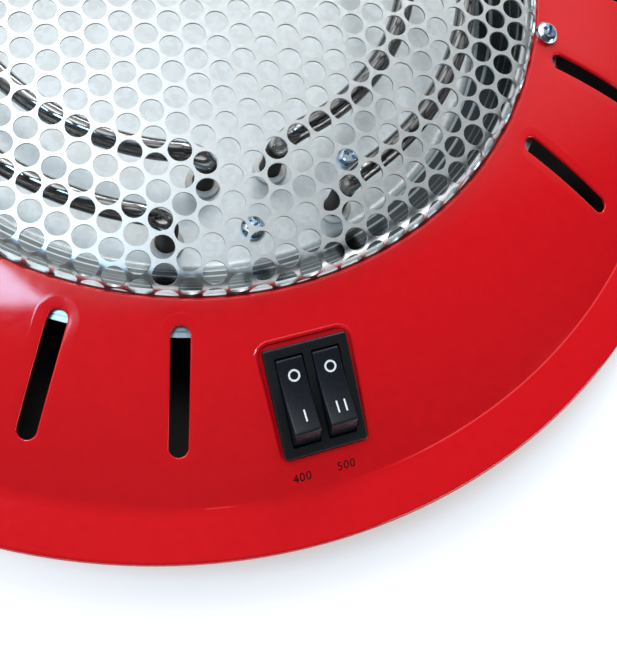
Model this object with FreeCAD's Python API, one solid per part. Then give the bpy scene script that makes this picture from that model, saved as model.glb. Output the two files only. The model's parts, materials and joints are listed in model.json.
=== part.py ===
"""Electric brazier: a round under-table heater.

A red pressed cover ring with vent slots carries a crowned perforated grille in its opening.
Two C-shaped tubular elements lie over a reflector bowl, and a double rocker switch in the
ring turns them on one by one. Millimetres, +Z up, origin on the floor under the axis, and
the switch at the front, towards -Y.
"""
import math
import os

import FreeCAD
import Part

V = FreeCAD.Vector
UP = V(0, 0, 1)

# Overall
overall_diameter = 380.0
overall_height = 62.0
foot_height = 6.0

# Sheet metal
ring_sheet = 0.8
grille_sheet = 0.6
reflector_sheet = 0.6
pan_sheet = 0.8
bracket_sheet = 1.2
seat_gap = 0.1

# Cover ring, drops are below the top of the grille
ring_band = 71.7
lip_width = 15.0
ring_edge_drop = 11.1
collar_depth = 2.5
land_slope = 12.0
foot_slope = 29.0
cone_chord_count = 2
crease_drop = 31.0
lip_drop = 2.0
hem_depth = 3.0

# Vent slots in the ring, on an even pitch with the places beside the switch left out
slot_place_count = 24
slots_left_out = (18, 19, 20)
slot_inner_margin = 8.3
slot_outer_margin = 15.0
slot_width = 6.3
slot_end_sides = 6

# Cover screws
cover_screw_count = 3
cover_screw_azimuth = -26.6
cover_screw_margin = 3.7
screw_head = 7.0
screw_head_height = 2.4
screw_head_sides = 12
screw_sides = 6
screw_shank = 3.5
cover_screw_length = 7.0
screw_clearance = 0.25

# Grille
grille_clearance = 0.8
dome_rise = 5.53
dome_edge_width = 5.0
dome_edge_chord_count = 1
grille_flange_margin = 8.7
mesh_pitch = 21.0
mesh_bridge = 2.4
mesh_bow = 0.03
mesh_margin = 0.5
mesh_azimuth = 19.65

# Reflector bowl
reflector_drop = 33.0
bowl_mouth_inset = 2.1
bowl_wall_run = 13.4
reflector_flange_margin = 12.7

# Heating elements
tube_diameter = 6.5
tube_drop = 12.0
tube_sides = 6
outer_loop_inset = 8.0
loop_pitch = 20.6
loop_chord_angle = 8.0
inner_leg_spread = 22.0
outer_leg_spread = 55.0
leg_bend_radius = 9.0
leg_bend_chord_angle = 22.5
sheath_below_floor = 5.0
pin_diameter = 3.0
pin_length = 6.0

# Collars at the element ends
bush_wall = 1.2
bush_flange = 0.9
bush_flange_height = 1.4
bush_depth = 3.2
bush_clearance = 0.15

# Tube supports at the back
support_azimuths = (30.0, 150.0)
support_sheet = 1.2
support_foot_width = 16.0
support_tab_length = 12.0
support_overhang = 6.5
support_clearance = 0.4

# Screws in the reflector's floor, and what they hold below it
floor_screw_length = 7.0
earth_screw_inset = 2.5
cutout_screw_inset = 10.2
cutout_screw_azimuth = -63.2
cutout_diameter = 16.0
cutout_sides = 12
cutout_height = 8.0
cutout_ear_width = 9.0
cutout_offset = 14.0
tag_width = 8.0
tag_length = 20.0
tag_sheet = 0.8

# Base pan
pan_inset = 7.0
pan_bevel = 5.0

# Brackets between pan and reflector
bracket_width = 14.0
bracket_tab_margin = 3.5
bracket_leg_offset = 8.0
bracket_foot_length = 14.0

# Feet
foot_count = 4
foot_azimuth = 45.0
foot_inset = 34.0
foot_base = 18.0
foot_base_sides = 24
foot_stem = 6.0
foot_stem_sides = 6
foot_stem_length = 2.5

# Cable inlet
inlet_azimuth = 60.0
grommet_bore = 7.5
grommet_wall = 1.5
grommet_flange = 1.8
grommet_flange_length = 3.0
grommet_sides = 12

# Double rocker switch, in its own frame on the ring's pad
switch_inset = 25.5
pad_depth = 1.5
pad_margin = 2.4
pad_corner_radius = 4.0
housing_width = 21.6
housing_length = 29.6
housing_depth = 17.0
housing_floor = 1.5
housing_side_wall = 1.0
housing_end_wall = 1.6
cutout_clearance = 0.3
bezel_side_lap = 1.9
bezel_end_lap = 1.3
bezel_height = 2.2
bezel_chamfer = 0.9
rocker_divider = 2.4
rocker_side_clearance = 0.3
rocker_end_clearance = 0.3
rocker_swing = 18.0
rocker_pivot_depth = 1.0
rocker_end_rise = 4.2
rocker_dish = 1.3
rocker_skirt = 3.0
trunnion_diameter = 2.4
trunnion_grip = 0.8
trunnion_clearance = 0.05
stem_width = 4.6
stem_depth = 3.5
plunger_diameter = 2.4
plunger_sides = 6
plunger_reach = 9.2
plunger_clearance = 0.05
lever_width = 4.0
lever_length = 16.0
lever_thickness = 0.8
lever_gap = 0.2
lever_swing = 14.0
terminal_width = 4.8
terminal_thickness = 0.8
terminal_reach = 8.0
contact_offset = 6.5
contact_gap = 0.25

# Mains connection and internal wiring
block_inset = 68.0
block_azimuth = 60.0
block_length = 34.0
block_width = 18.0
block_height = 13.0
block_way_count = 3
block_way_pitch = 10.0
block_well = 4.6
block_well_depth = 6.0
block_chamfer = 1.0
lead_diameter = 2.2
lead_sides = 6
lead_height = 3.4
lead_bend = 3.0

# Levels, radii and widths that follow from the sizes above
apex_z = overall_height
ring_radius = overall_diameter / 2
opening_radius = ring_radius - ring_band
crease_r = ring_radius - lip_width
slot_inner_radius = opening_radius + slot_inner_margin
slot_outer_radius = crease_r - slot_outer_margin
switch_radius = crease_r - switch_inset
cover_screw_radius = opening_radius + cover_screw_margin
ring_edge_z = apex_z - ring_edge_drop
crease_z = apex_z - crease_drop
lip_z = crease_z - lip_drop
floor_z = apex_z - reflector_drop
floor_under_z = floor_z - reflector_sheet
tube_z = apex_z - tube_drop
pan_z = foot_height + pan_sheet
grille_radius = opening_radius - grille_clearance
grille_flange_radius = opening_radius + grille_flange_margin
bowl_mouth_radius = grille_radius - bowl_mouth_inset
bowl_floor_radius = bowl_mouth_radius - bowl_wall_run
reflector_flange_radius = opening_radius + reflector_flange_margin
outer_loop_radius = bowl_floor_radius - outer_loop_inset
inner_loop_radius = outer_loop_radius - loop_pitch
earth_screw_radius = outer_loop_radius - earth_screw_inset
cutout_screw_radius = outer_loop_radius - cutout_screw_inset
pan_wall_radius = crease_r - pan_inset
foot_circle_radius = pan_wall_radius - foot_inset
block_radius = pan_wall_radius - block_inset
bracket_inner_radius = cover_screw_radius - bracket_tab_margin
bracket_leg_radius = cover_screw_radius + bracket_leg_offset
bracket_foot_radius = bracket_leg_radius + bracket_foot_length
tube_radius = tube_diameter / 2
tube_corner = tube_radius / math.cos(math.pi / tube_sides)
land_rise = math.tan(math.radians(land_slope))
sheet_drop = 1 / math.cos(math.radians(land_slope))
bezel_width = housing_width + 2 * bezel_side_lap
bezel_length = housing_length + 2 * bezel_end_lap
rocker_window_width = (housing_width - rocker_divider) / 2 - housing_side_wall
rocker_window_length = housing_length - 2 * housing_end_wall


def land_z(radius):
    """Height of the ring's upper face on its conical land."""
    return ring_edge_z - (radius - opening_radius) * land_rise


# Depths below the ring's upper face of the sheets that lie under its land
grille_flange_drop = collar_depth + seat_gap
reflector_flange_drop = grille_flange_drop + grille_sheet * sheet_drop + seat_gap
bracket_tab_drop = reflector_flange_drop + reflector_sheet * sheet_drop + seat_gap


def polar(radius, azimuth, z=0.0):
    angle = math.radians(azimuth)
    return V(radius * math.cos(angle), radius * math.sin(angle), z)


def placed(shape, position, azimuth=0.0, lean=0.0):
    """A copy of a shape leaned outwards, turned to an azimuth and moved to a position."""
    turn = FreeCAD.Rotation(UP, azimuth).multiply(FreeCAD.Rotation(V(0, 1, 0), lean))
    moved = shape.copy()
    moved.Placement = FreeCAD.Placement(position, turn).multiply(shape.Placement)
    return moved


def bent_points(corners):
    """Points along (r, z) corners, where a corner (r, z, radius, chords) is bent in chords of an arc."""
    points = []
    for i, (r, z, *bend) in enumerate(corners):
        if not bend:
            points.append((r, z))
            continue
        radius, chords = bend
        before = math.atan2(z - corners[i - 1][1], r - corners[i - 1][0])
        after = math.atan2(corners[i + 1][1] - z, corners[i + 1][0] - r)
        turn = math.remainder(after - before, 2 * math.pi)
        side = math.copysign(radius, turn)
        reach = radius * math.tan(abs(turn) / 2)
        centre_r = r - reach * math.cos(before) - side * math.sin(before)
        centre_z = z - reach * math.sin(before) + side * math.cos(before)
        for chord in range(chords + 1):
            slope = before + turn * chord / chords
            points.append((centre_r + side * math.sin(slope), centre_z - side * math.cos(slope)))
    return [b for a, b in zip(points[-1:] + points, points) if math.dist(a, b) > 1e-6]


def sheet_section(corners, thickness):
    """Section of a bent sheet: a path in the XZ plane, and its parallel on the right-hand side."""
    points = bent_points(corners)
    slopes = [math.atan2(b[1] - a[1], b[0] - a[0]) for a, b in zip(points, points[1:])]
    other = []
    for (r, z), before, after in zip(points, slopes[:1] + slopes, slopes + slopes[-1:]):
        reach = thickness / (1 + math.cos(after - before))
        other.append((r + reach * (math.sin(before) + math.sin(after)),
                      z - reach * (math.cos(before) + math.cos(after))))
    return flat_face([V(r, 0, z) for r, z in points + other[::-1]])


def revolved_sheet(corners, thickness):
    return sheet_section(corners, thickness).revolve(V(), UP, 360)


def cylinder(diameter, low, high):
    return Part.makeCylinder(diameter / 2, high - low, V(0, 0, low))


def block(x, y, z):
    """Box from three (low, high) pairs."""
    return Part.makeBox(x[1] - x[0], y[1] - y[0], z[1] - z[0], V(x[0], y[0], z[0]))


def centred_block(width, length, low, high):
    return block((-width / 2, width / 2), (-length / 2, length / 2), (low, high))


def rounded_block(width, length, low, high, radius):
    """Upright prism on a centred rectangle with rounded corners."""
    shape = centred_block(width, length, low, high)
    corners = [e for e in shape.Edges if abs(e.BoundBox.ZLength - (high - low)) < 1e-6]
    return shape.makeFillet(radius, corners)


def flat_face(spots):
    return Part.Face(Part.makePolygon(spots + spots[:1]))


def prism(sides, flats, low, high, azimuth=0.0):
    """Upright regular prism, its first corner at the azimuth."""
    corner = flats / 2 / math.cos(math.pi / sides)
    spots = [polar(corner, azimuth + 360 / sides * i, low) for i in range(sides)]
    return flat_face(spots).extrude(V(0, 0, high - low))


def screw(length):
    """Screw along Z with its seat at zero: a head on a plain shank."""
    head = prism(screw_head_sides, screw_head, 0, screw_head_height)
    return head.fuse(prism(screw_sides, screw_shank, -length, 0))


def screw_drill(low, high):
    return prism(screw_sides, screw_shank + 2 * screw_clearance, low, high)


def ring_azimuths(count, first):
    return [first + 360 / count * i for i in range(count)]


def cover_screw_places():
    """Seat and azimuth of each cover screw on the ring's land."""
    seat = land_z(cover_screw_radius)
    azimuths = ring_azimuths(cover_screw_count, cover_screw_azimuth)
    return [(polar(cover_screw_radius, azimuth, seat), azimuth) for azimuth in azimuths]


def cover_screw_holes():
    drill = screw_drill(-2 * cover_screw_length, cover_screw_length)
    return [placed(drill, spot, azimuth, land_slope) for spot, azimuth in cover_screw_places()]


# Cover ring

foot_rise = math.tan(math.radians(foot_slope))
cone_drop = crease_r * foot_rise - opening_radius * land_rise - (ring_edge_z - crease_z)
cone_corner_r = cone_drop / (foot_rise - land_rise)
cone_corner_z = land_z(cone_corner_r)
cone_reach = math.hypot(crease_r - cone_corner_r, crease_z - cone_corner_z)
cone_radius = cone_reach / math.tan(math.radians(foot_slope - land_slope) / 2)
cone_centre_r = crease_r - cone_radius * math.sin(math.radians(foot_slope))
cone_centre_z = crease_z - cone_radius * math.cos(math.radians(foot_slope))
switch_tilt = math.degrees(math.asin((switch_radius - cone_centre_r) / cone_radius))
pad_surface_z = cone_centre_z + cone_radius * math.cos(math.radians(switch_tilt))
switch_down = V(0, math.sin(math.radians(switch_tilt)), -math.cos(math.radians(switch_tilt)))
switch_placement = FreeCAD.Placement(
    V(0, -switch_radius, pad_surface_z) + switch_down * pad_depth, FreeCAD.Rotation(V(1, 0, 0), switch_tilt))


def ring_path():
    return [
        (opening_radius, ring_edge_z - collar_depth),
        (opening_radius, ring_edge_z),
        (cone_corner_r, cone_corner_z, cone_radius, cone_chord_count),
        (crease_r, crease_z),
        (ring_radius, lip_z),
        (ring_radius, lip_z - hem_depth)]


def ring_under(radius):
    """Height of the ring's underside at a radius on its cone."""
    points = bent_points(ring_path())
    for (r1, z1), (r2, z2) in zip(points[1:], points[2:]):
        if r1 <= radius <= r2:
            slope = math.atan2(z1 - z2, r2 - r1)
            return z1 - (radius - r1) * math.tan(slope) - ring_sheet / math.cos(slope)
    raise ValueError("no ring above this radius")


def on_switch(shape):
    """Place a shape from the switch's frame: X along the pivots, Y uphill, Z out of the pad."""
    moved = shape.copy()
    moved.Placement = switch_placement.multiply(shape.Placement)
    return moved


def slot_cutters():
    half = slot_width / 2
    corner = half / math.cos(math.pi / slot_end_sides)
    first = V(slot_inner_radius + half, 0, crease_z)
    last = V(slot_outer_radius - half, 0, crease_z)
    turns = [360 / slot_end_sides * (i + 0.5) - 90 for i in range(slot_end_sides // 2)]
    spots = [last + polar(corner, turn) for turn in turns] + [first - polar(corner, turn) for turn in turns]
    cutter = flat_face(spots).extrude(V(0, 0, apex_z - crease_z))
    places = [i for i in range(slot_place_count) if i not in slots_left_out]
    return [placed(cutter, V(), 360 / slot_place_count * i) for i in places]


def make_cover_ring():
    shell = revolved_sheet(ring_path(), ring_sheet)
    pad_width = bezel_width + 2 * pad_margin
    pad_length = bezel_length + 2 * pad_margin
    wall = 2 * ring_sheet
    depth = 4 * pad_depth
    outer = on_switch(rounded_block(pad_width + wall, pad_length + wall, -ring_sheet, depth,
                                    pad_corner_radius + ring_sheet))
    pocket = on_switch(rounded_block(pad_width, pad_length, 0, depth, pad_corner_radius))
    opening = on_switch(centred_block(
        housing_width + 2 * cutout_clearance, housing_length + 2 * cutout_clearance, -depth, depth))
    thick = revolved_sheet(ring_path()[1:4], ring_sheet + 2 * pad_depth)
    ring = shell.fuse(thick.common(outer)).cut(pocket)
    return ring.cut(slot_cutters() + cover_screw_holes() + [opening]).removeSplitter()


# Grille

dome_join_r = grille_radius - dome_edge_width
dome_radius = (dome_join_r ** 2 + dome_rise ** 2) / (2 * dome_rise)
dome_slope = math.asin(dome_join_r / dome_radius)
dome_join_z = apex_z - dome_rise
dome_edge_z = dome_join_z - dome_edge_width * math.tan(dome_slope)
dome_edge_radius = dome_edge_width / math.cos(dome_slope) / math.tan(math.pi / 4 - dome_slope / 2)


def make_dome_cap():
    """Crowned middle of the grille, its sphere's poles lying sideways."""
    centre = V(0, 0, apex_z - dome_radius)
    sideways = V(0, 1, 0)
    outer = Part.makeSphere(dome_radius, centre, sideways)
    inner = Part.makeSphere(dome_radius - grille_sheet, centre, sideways)
    core = cylinder(2 * dome_join_r, dome_edge_z - dome_edge_radius, apex_z + 1)
    return core.common(outer).cut(inner)


def grille_path():
    bend_z = land_z(grille_radius) - grille_flange_drop
    return [
        (dome_join_r, dome_join_z),
        (grille_radius, dome_edge_z, dome_edge_radius, dome_edge_chord_count),
        (grille_radius, bend_z),
        (grille_flange_radius, land_z(grille_flange_radius) - grille_flange_drop)]


def mesh_cutters():
    """Six-sided openings, their sides a little bowed, on a triangular lattice round the axis."""
    opening = mesh_pitch - mesh_bridge
    limit = grille_radius - dome_edge_radius - mesh_margin - opening / 2
    low = dome_edge_z - dome_edge_radius
    corner = opening / 2 / math.cos(math.pi / 6)
    corners = [polar(corner, mesh_azimuth + 60 * i + 30, low) for i in range(7)]
    middles = [polar(opening / 2 + mesh_bow, mesh_azimuth + 60 * i, low) for i in range(1, 7)]
    sides = [Part.Arc(a, m, b).toShape() for a, m, b in zip(corners, middles, corners[1:])]
    cutter = Part.Face(Part.Wire(sides)).extrude(V(0, 0, apex_z + 1 - low))
    step = polar(mesh_pitch, mesh_azimuth)
    slant = polar(mesh_pitch, mesh_azimuth + 60)
    reach = int(2 * limit / mesh_pitch)
    cutters = []
    for i in range(-reach, reach + 1):
        for j in range(-reach, reach + 1):
            spot = step * i + slant * j
            if spot.Length <= limit:
                cutters.append(placed(cutter, spot))
    return cutters


def make_grille():
    cap = make_dome_cap().cut(Part.makeCompound(mesh_cutters()))
    rim = revolved_sheet(grille_path(), grille_sheet).cut(cover_screw_holes())
    return cap.fuse(rim)


# Heating elements

def leg_angle(loop_radius, leg_spread):
    """Angle from the front at which a loop ends, so that its legs stand the given spread apart."""
    reach = math.hypot(loop_radius, leg_bend_radius)
    return math.asin(leg_spread / 2 / reach) + math.atan2(leg_bend_radius, loop_radius)


def leg_places(loop_radius, leg_spread):
    """Places of the left and right legs, and the azimuth that one corner of each faces."""
    reach = math.hypot(loop_radius, leg_bend_radius)
    half = leg_spread / 2
    front = -math.sqrt(reach ** 2 - half ** 2)
    corner = math.degrees(leg_angle(loop_radius, leg_spread)) - 90 + 180 / tube_sides
    return [(V(-half, front, 0), 180 - corner), (V(half, front, 0), corner)]


def swept(section, hub, axis, angle, chord_angle):
    """Solid that a ring of points sweeps round an axis in equal chords."""
    chords = math.ceil(angle / chord_angle)
    stations = []
    for i in range(chords + 1):
        turn = FreeCAD.Rotation(axis, angle * i / chords)
        stations.append([hub + turn.multVec(spot - hub) for spot in section])
    faces = [flat_face(stations[0]), flat_face(stations[-1])]
    for here, ahead in zip(stations, stations[1:]):
        for k in range(len(section)):
            faces.append(flat_face([here[k - 1], here[k], ahead[k], ahead[k - 1]]))
    return Part.Solid(Part.makeShell(faces)), stations[-1]


def make_element(loop_radius, leg_spread):
    end = math.degrees(leg_angle(loop_radius, leg_spread))
    turns = [math.radians(360 / tube_sides * (i + 0.5)) for i in range(tube_sides)]
    front = FreeCAD.Rotation(UP, end - 90)
    corners = [V(math.cos(turn), 0, math.sin(turn)) * tube_corner for turn in turns]
    section = [front.multVec(V(loop_radius, 0, tube_z) + corner) for corner in corners]
    loop = swept(section, V(), UP, 360 - 2 * end, loop_chord_angle)[0]
    hub = polar(loop_radius, end - 90, tube_z - leg_bend_radius)
    bend, foot = swept(section, hub, polar(1, end - 90), 90, leg_bend_chord_angle)
    leg = flat_face(foot).extrude(V(0, 0, floor_under_z - sheath_below_floor - hub.z))
    side = [bend, leg]
    mirrored = [piece.mirror(V(), V(1, 0, 0)) for piece in side]
    return loop.fuse(side + mirrored).removeSplitter()


def make_element_pins(loop_radius, leg_spread):
    top = floor_under_z - sheath_below_floor
    pin = prism(tube_sides, pin_diameter, top - pin_length, top)
    return Part.makeCompound([placed(pin, *place) for place in leg_places(loop_radius, leg_spread)])


def all_leg_places():
    return leg_places(inner_loop_radius, inner_leg_spread) + leg_places(outer_loop_radius, outer_leg_spread)


def make_end_bushes():
    """Six-sided insulating plugs round the element ends, with a collar on the reflector's floor."""
    low = floor_under_z - bush_depth
    seat = floor_z + seat_gap
    top = seat + bush_flange_height
    body = prism(tube_sides, bush_body, low, seat)
    collar = prism(tube_sides, bush_body + 2 * bush_flange, seat, top)
    bush = body.fuse(collar).cut(prism(tube_sides, bush_bore, low, top)).removeSplitter()
    return Part.makeCompound([placed(bush, *place) for place in all_leg_places()])


bush_bore = tube_diameter + 2 * bush_clearance
bush_body = bush_bore + 2 * bush_wall


# Tube supports

support_middle = (inner_loop_radius + outer_loop_radius) / 2
support_seat_z = floor_z + seat_gap


def make_tube_supports():
    half = support_foot_width / 2
    top = tube_z + tube_radius / 2
    shoulder = tube_z - tube_radius - 1
    waist = (support_seat_z + shoulder) / 2
    low_r = inner_loop_radius - support_overhang
    high_r = outer_loop_radius + support_overhang
    outline = [(support_middle - half, support_seat_z), (support_middle + half, support_seat_z),
               (support_middle + half, waist), (high_r, shoulder), (high_r, top), (low_r, top),
               (low_r, shoulder), (support_middle - half, waist)]
    spots = [V(r, -support_sheet / 2, z) for r, z in outline]
    plate = flat_face(spots).extrude(V(0, support_sheet, 0))
    notch = tube_diameter + 2 * support_clearance
    for loop_radius in (inner_loop_radius, outer_loop_radius):
        mouth = block((loop_radius - notch / 2, loop_radius + notch / 2), (-support_sheet, support_sheet),
                      (tube_z - tube_corner - bush_clearance, apex_z))
        plate = plate.cut(mouth)
    tab = block((support_middle - half, support_middle + half),
                (-support_sheet / 2, support_tab_length), (support_seat_z, support_seat_z + support_sheet))
    support = plate.fuse(tab).removeSplitter()
    return Part.makeCompound([placed(support, V(), azimuth) for azimuth in support_azimuths])


# Reflector bowl

def floor_screw_places():
    return [polar(earth_screw_radius, -90), polar(cutout_screw_radius, cutout_screw_azimuth)]


def make_reflector():
    bowl = revolved_sheet([
        (0, floor_z),
        (bowl_floor_radius, floor_z),
        (bowl_mouth_radius, land_z(bowl_mouth_radius) - reflector_flange_drop),
        (reflector_flange_radius, land_z(reflector_flange_radius) - reflector_flange_drop)], reflector_sheet)
    bush_drill = prism(tube_sides, bush_body + 2 * bush_clearance, pan_z, apex_z)
    holes = [placed(bush_drill, *place) for place in all_leg_places()]
    holes += [placed(screw_drill(pan_z, apex_z), spot) for spot in floor_screw_places()]
    return bowl.cut(holes + cover_screw_holes())


def make_floor_screws():
    raised = placed(screw(floor_screw_length), V(0, 0, floor_z + seat_gap))
    return Part.makeCompound([placed(raised, spot) for spot in floor_screw_places()])


tag_under_z = floor_under_z - seat_gap - tag_sheet


def make_earth_tag():
    """Flat tag under the earth screw, with its blade towards the axis."""
    half = tag_width / 2
    plate = block((-half, half), (-half, tag_length), (tag_under_z, tag_under_z + tag_sheet))
    return placed(plate.cut(screw_drill(pan_z, apex_z)), floor_screw_places()[0])


cutout_spot = V(cutout_offset, 0, 0)
cutout_blade_offset = cutout_diameter / 4


def make_thermal_cutout():
    """Bimetal cut-out with a fixing ear, pressed against the underside of the reflector."""
    top = tag_under_z + tag_sheet
    body = placed(prism(cutout_sides, cutout_diameter, top - cutout_height, top), cutout_spot)
    half = cutout_ear_width / 2
    ear = block((-half, cutout_offset), (-half, half), (tag_under_z, top))
    low = top - cutout_height
    blade = block((-half / 4, half / 4), (-half, half), (low - tag_sheet, low))
    blades = [placed(blade, cutout_spot + V(side * cutout_blade_offset, 0, 0)) for side in (-1, 1)]
    spot = floor_screw_places()[1]
    unit = placed(body.fuse([ear] + blades).removeSplitter(), spot, cutout_screw_azimuth + 90)
    return unit.cut(placed(screw_drill(pan_z, apex_z), spot))


# Base pan, brackets and feet

def bracket_azimuths():
    return ring_azimuths(cover_screw_count, cover_screw_azimuth)


def foot_places():
    return [polar(foot_circle_radius, a) for a in ring_azimuths(foot_count, foot_azimuth)]


block_spot = polar(block_radius, block_azimuth)
inlet_axis = polar(1, inlet_azimuth)
grommet_body = grommet_bore + 2 * grommet_wall
pan_wall_low = pan_z + pan_bevel
pan_wall_high = ring_under(pan_wall_radius + pan_sheet) - seat_gap
inlet_z = (pan_wall_low + pan_wall_high) / 2


def make_base_pan():
    pan = revolved_sheet([
        (0, pan_z),
        (pan_wall_radius - pan_bevel, pan_z),
        (pan_wall_radius, pan_wall_low),
        (pan_wall_radius, pan_wall_high)], pan_sheet)
    foot_drill = prism(foot_stem_sides, foot_stem + 2 * screw_clearance, 0, 2 * foot_height)
    holes = [placed(foot_drill, spot) for spot in foot_places()]
    inlet = prism(grommet_sides, grommet_body + 2 * screw_clearance, -grommet_body, grommet_body)
    return pan.cut(holes + [on_inlet(inlet)])


def on_inlet(shape):
    """Turn a shape's axis from Z to the cable inlet's, with its origin on the pan's inner wall."""
    return placed(shape, inlet_axis * pan_wall_radius + V(0, 0, inlet_z), inlet_azimuth, 90)


def bracket_top(radius):
    return land_z(radius) - bracket_tab_drop


def make_pan_brackets():
    foot_z = pan_z + seat_gap + bracket_sheet
    section = sheet_section([
        (bracket_inner_radius, bracket_top(bracket_inner_radius)),
        (bracket_leg_radius, bracket_top(bracket_leg_radius)),
        (bracket_leg_radius, foot_z),
        (bracket_foot_radius, foot_z)], bracket_sheet)
    bar = section.extrude(V(0, bracket_width, 0))
    bar.translate(V(0, -bracket_width / 2, 0))
    brackets = [placed(bar, V(), azimuth) for azimuth in bracket_azimuths()]
    return Part.makeCompound(brackets).cut(cover_screw_holes())


def make_cover_screws():
    raised = placed(screw(cover_screw_length), V(0, 0, seat_gap))
    screws = [placed(raised, spot, azimuth, land_slope) for spot, azimuth in cover_screw_places()]
    return Part.makeCompound(screws)


def make_feet():
    """Round rubber feet, each with a stem pushed through the pan."""
    base = prism(foot_base_sides, foot_base, 0, foot_height - seat_gap)
    stem = prism(foot_stem_sides, foot_stem, 0, pan_z + foot_stem_length)
    foot = base.fuse(stem).removeSplitter()
    return Part.makeCompound([placed(foot, spot) for spot in foot_places()])


def make_cable_grommet():
    """Rubber bush in the pan's wall, its axis along the inlet's azimuth."""
    flange = grommet_body + 2 * grommet_flange
    inner = -seat_gap - flange ** 2 / (8 * pan_wall_radius)
    outer = pan_sheet + seat_gap
    ends = (inner - grommet_flange_length, outer + grommet_flange_length)
    flanges = [prism(grommet_sides, flange, ends[0], inner), prism(grommet_sides, flange, outer, ends[1])]
    bush = prism(grommet_sides, grommet_body, inner, outer).fuse(flanges)
    return on_inlet(bush.cut(cylinder(grommet_bore, *ends)).removeSplitter())


# Double rocker switch, modelled in its own frame

rocker_pitch = rocker_window_width + rocker_divider
rocker_sides = {"left": -rocker_pitch / 2, "right": rocker_pitch / 2}
pivot_z = -rocker_pivot_depth
inside_z = housing_floor - housing_depth
lever_top_z = pivot_z - plunger_reach - lever_gap
lever_axis_z = lever_top_z - lever_thickness
lever_drop = lever_length / 2 * math.sin(math.radians(lever_swing / 2))
contact_z = lever_axis_z - lever_drop - contact_gap
trunnion_length = rocker_window_width + 2 * trunnion_grip


def make_switch_housing():
    bezel = centred_block(bezel_width, bezel_length, seat_gap, bezel_height)
    rim = [e for e in bezel.Edges if e.BoundBox.ZMin > bezel_height - 1e-6]
    bezel = bezel.makeChamfer(bezel_chamfer, rim)
    housing = bezel.fuse(centred_block(housing_width, housing_length, -housing_depth, seat_gap))
    half_w = rocker_window_width / 2
    half_l = rocker_window_length / 2
    bore = trunnion_diameter / 2 + trunnion_clearance
    for x in rocker_sides.values():
        room = block((x - half_w, x + half_w), (-half_l, half_l), (inside_z, bezel_height))
        pivot = Part.makeCylinder(bore, trunnion_length + trunnion_clearance * 2,
                                  V(x - trunnion_length / 2 - trunnion_clearance, 0, pivot_z), V(1, 0, 0))
        housing = housing.cut(room.fuse(pivot))
        housing = housing.cut(terminal_slots(x))
    return on_switch(housing.removeSplitter())


def terminal_places(x):
    """Centre terminal under the lever's fulcrum, and the switched one under its uphill end."""
    fulcrum_z = lever_axis_z - lever_gap
    return [(x, 0, fulcrum_z), (x, contact_offset, contact_z)]


def terminal_slots(x):
    half = terminal_width / 2 + screw_clearance / 2
    thick = terminal_thickness / 2 + screw_clearance / 2
    return [block((x - half, x + half), (y - thick, y + thick), (-housing_depth, inside_z))
            for _, y, _ in terminal_places(x)]


def make_switch_terminals():
    tabs = []
    half = terminal_width / 2
    thick = terminal_thickness / 2
    for x in rocker_sides.values():
        for _, y, top in terminal_places(x):
            tabs.append(on_switch(block((x - half, x + half), (y - thick, y + thick),
                                        (-housing_depth - terminal_reach, top))))
    return Part.makeCompound(tabs)


def rocker_at_rest(shape):
    """Tip a rocker from its middle position to off: uphill end pressed, downhill end raised."""
    shape.rotate(V(0, 0, pivot_z), V(1, 0, 0), -rocker_swing / 2)
    return on_switch(shape)


def make_rocker(x):
    half_w = rocker_window_width / 2 - rocker_side_clearance
    reach = rocker_window_length / 2 - rocker_end_clearance
    rise = rocker_end_rise - pivot_z
    tip = math.sqrt(reach ** 2 - rise ** 2)
    heel = math.sqrt(reach ** 2 - rocker_skirt ** 2)
    corners = {side: V(0, side * tip, rocker_end_rise) for side in (-1, 1)}
    heels = {side: V(0, side * heel, pivot_z - rocker_skirt) for side in (-1, 1)}
    outline = [
        Part.Arc(corners[-1], V(0, 0, rocker_end_rise - rocker_dish), corners[1]).toShape(),
        Part.Arc(corners[1], V(0, reach, pivot_z), heels[1]).toShape(),
        Part.LineSegment(heels[1], heels[-1]).toShape(),
        Part.Arc(heels[-1], V(0, -reach, pivot_z), corners[-1]).toShape()]
    face = Part.Face(Part.Wire(outline))
    face.translate(V(x - half_w, 0, 0))
    cap = face.extrude(V(2 * half_w, 0, 0))
    axle_end = V(x - trunnion_length / 2, 0, pivot_z)
    axle = Part.makeCylinder(trunnion_diameter / 2, trunnion_length, axle_end, V(1, 0, 0))
    half_s = stem_width / 2
    foot = pivot_z - rocker_skirt - stem_depth
    stem = block((x - half_s, x + half_s), (-half_s, half_s), (foot, pivot_z))
    bore = prism(plunger_sides, plunger_diameter + 2 * plunger_clearance, foot, pivot_z - rocker_skirt / 2)
    return rocker_at_rest(cap.fuse([axle, stem]).cut(placed(bore, V(x, 0, 0))).removeSplitter())


def make_plunger(x):
    high = pivot_z - rocker_skirt / 2 - plunger_clearance
    pin = prism(plunger_sides, plunger_diameter, pivot_z - plunger_reach, high)
    tip = [e for e in pin.Edges if e.BoundBox.ZMax < pivot_z - plunger_reach + 1e-6]
    pin = pin.makeChamfer(plunger_diameter / 4, tip)
    return rocker_at_rest(placed(pin, V(x, 0, 0)))


def make_contact_lever(x):
    half = lever_width / 2
    strip = block((x - half, x + half), (-lever_length / 2, lever_length / 2), (lever_axis_z, lever_top_z))
    strip.rotate(V(0, 0, lever_axis_z), V(1, 0, 0), lever_swing / 2)
    return on_switch(strip)


# Mains connection and internal wiring

def way_offset(way):
    return (way - (block_way_count - 1) / 2) * block_way_pitch


block_seat_z = pan_z + seat_gap
block_top_z = block_seat_z + block_height
lead_z = block_seat_z + lead_height


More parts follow.
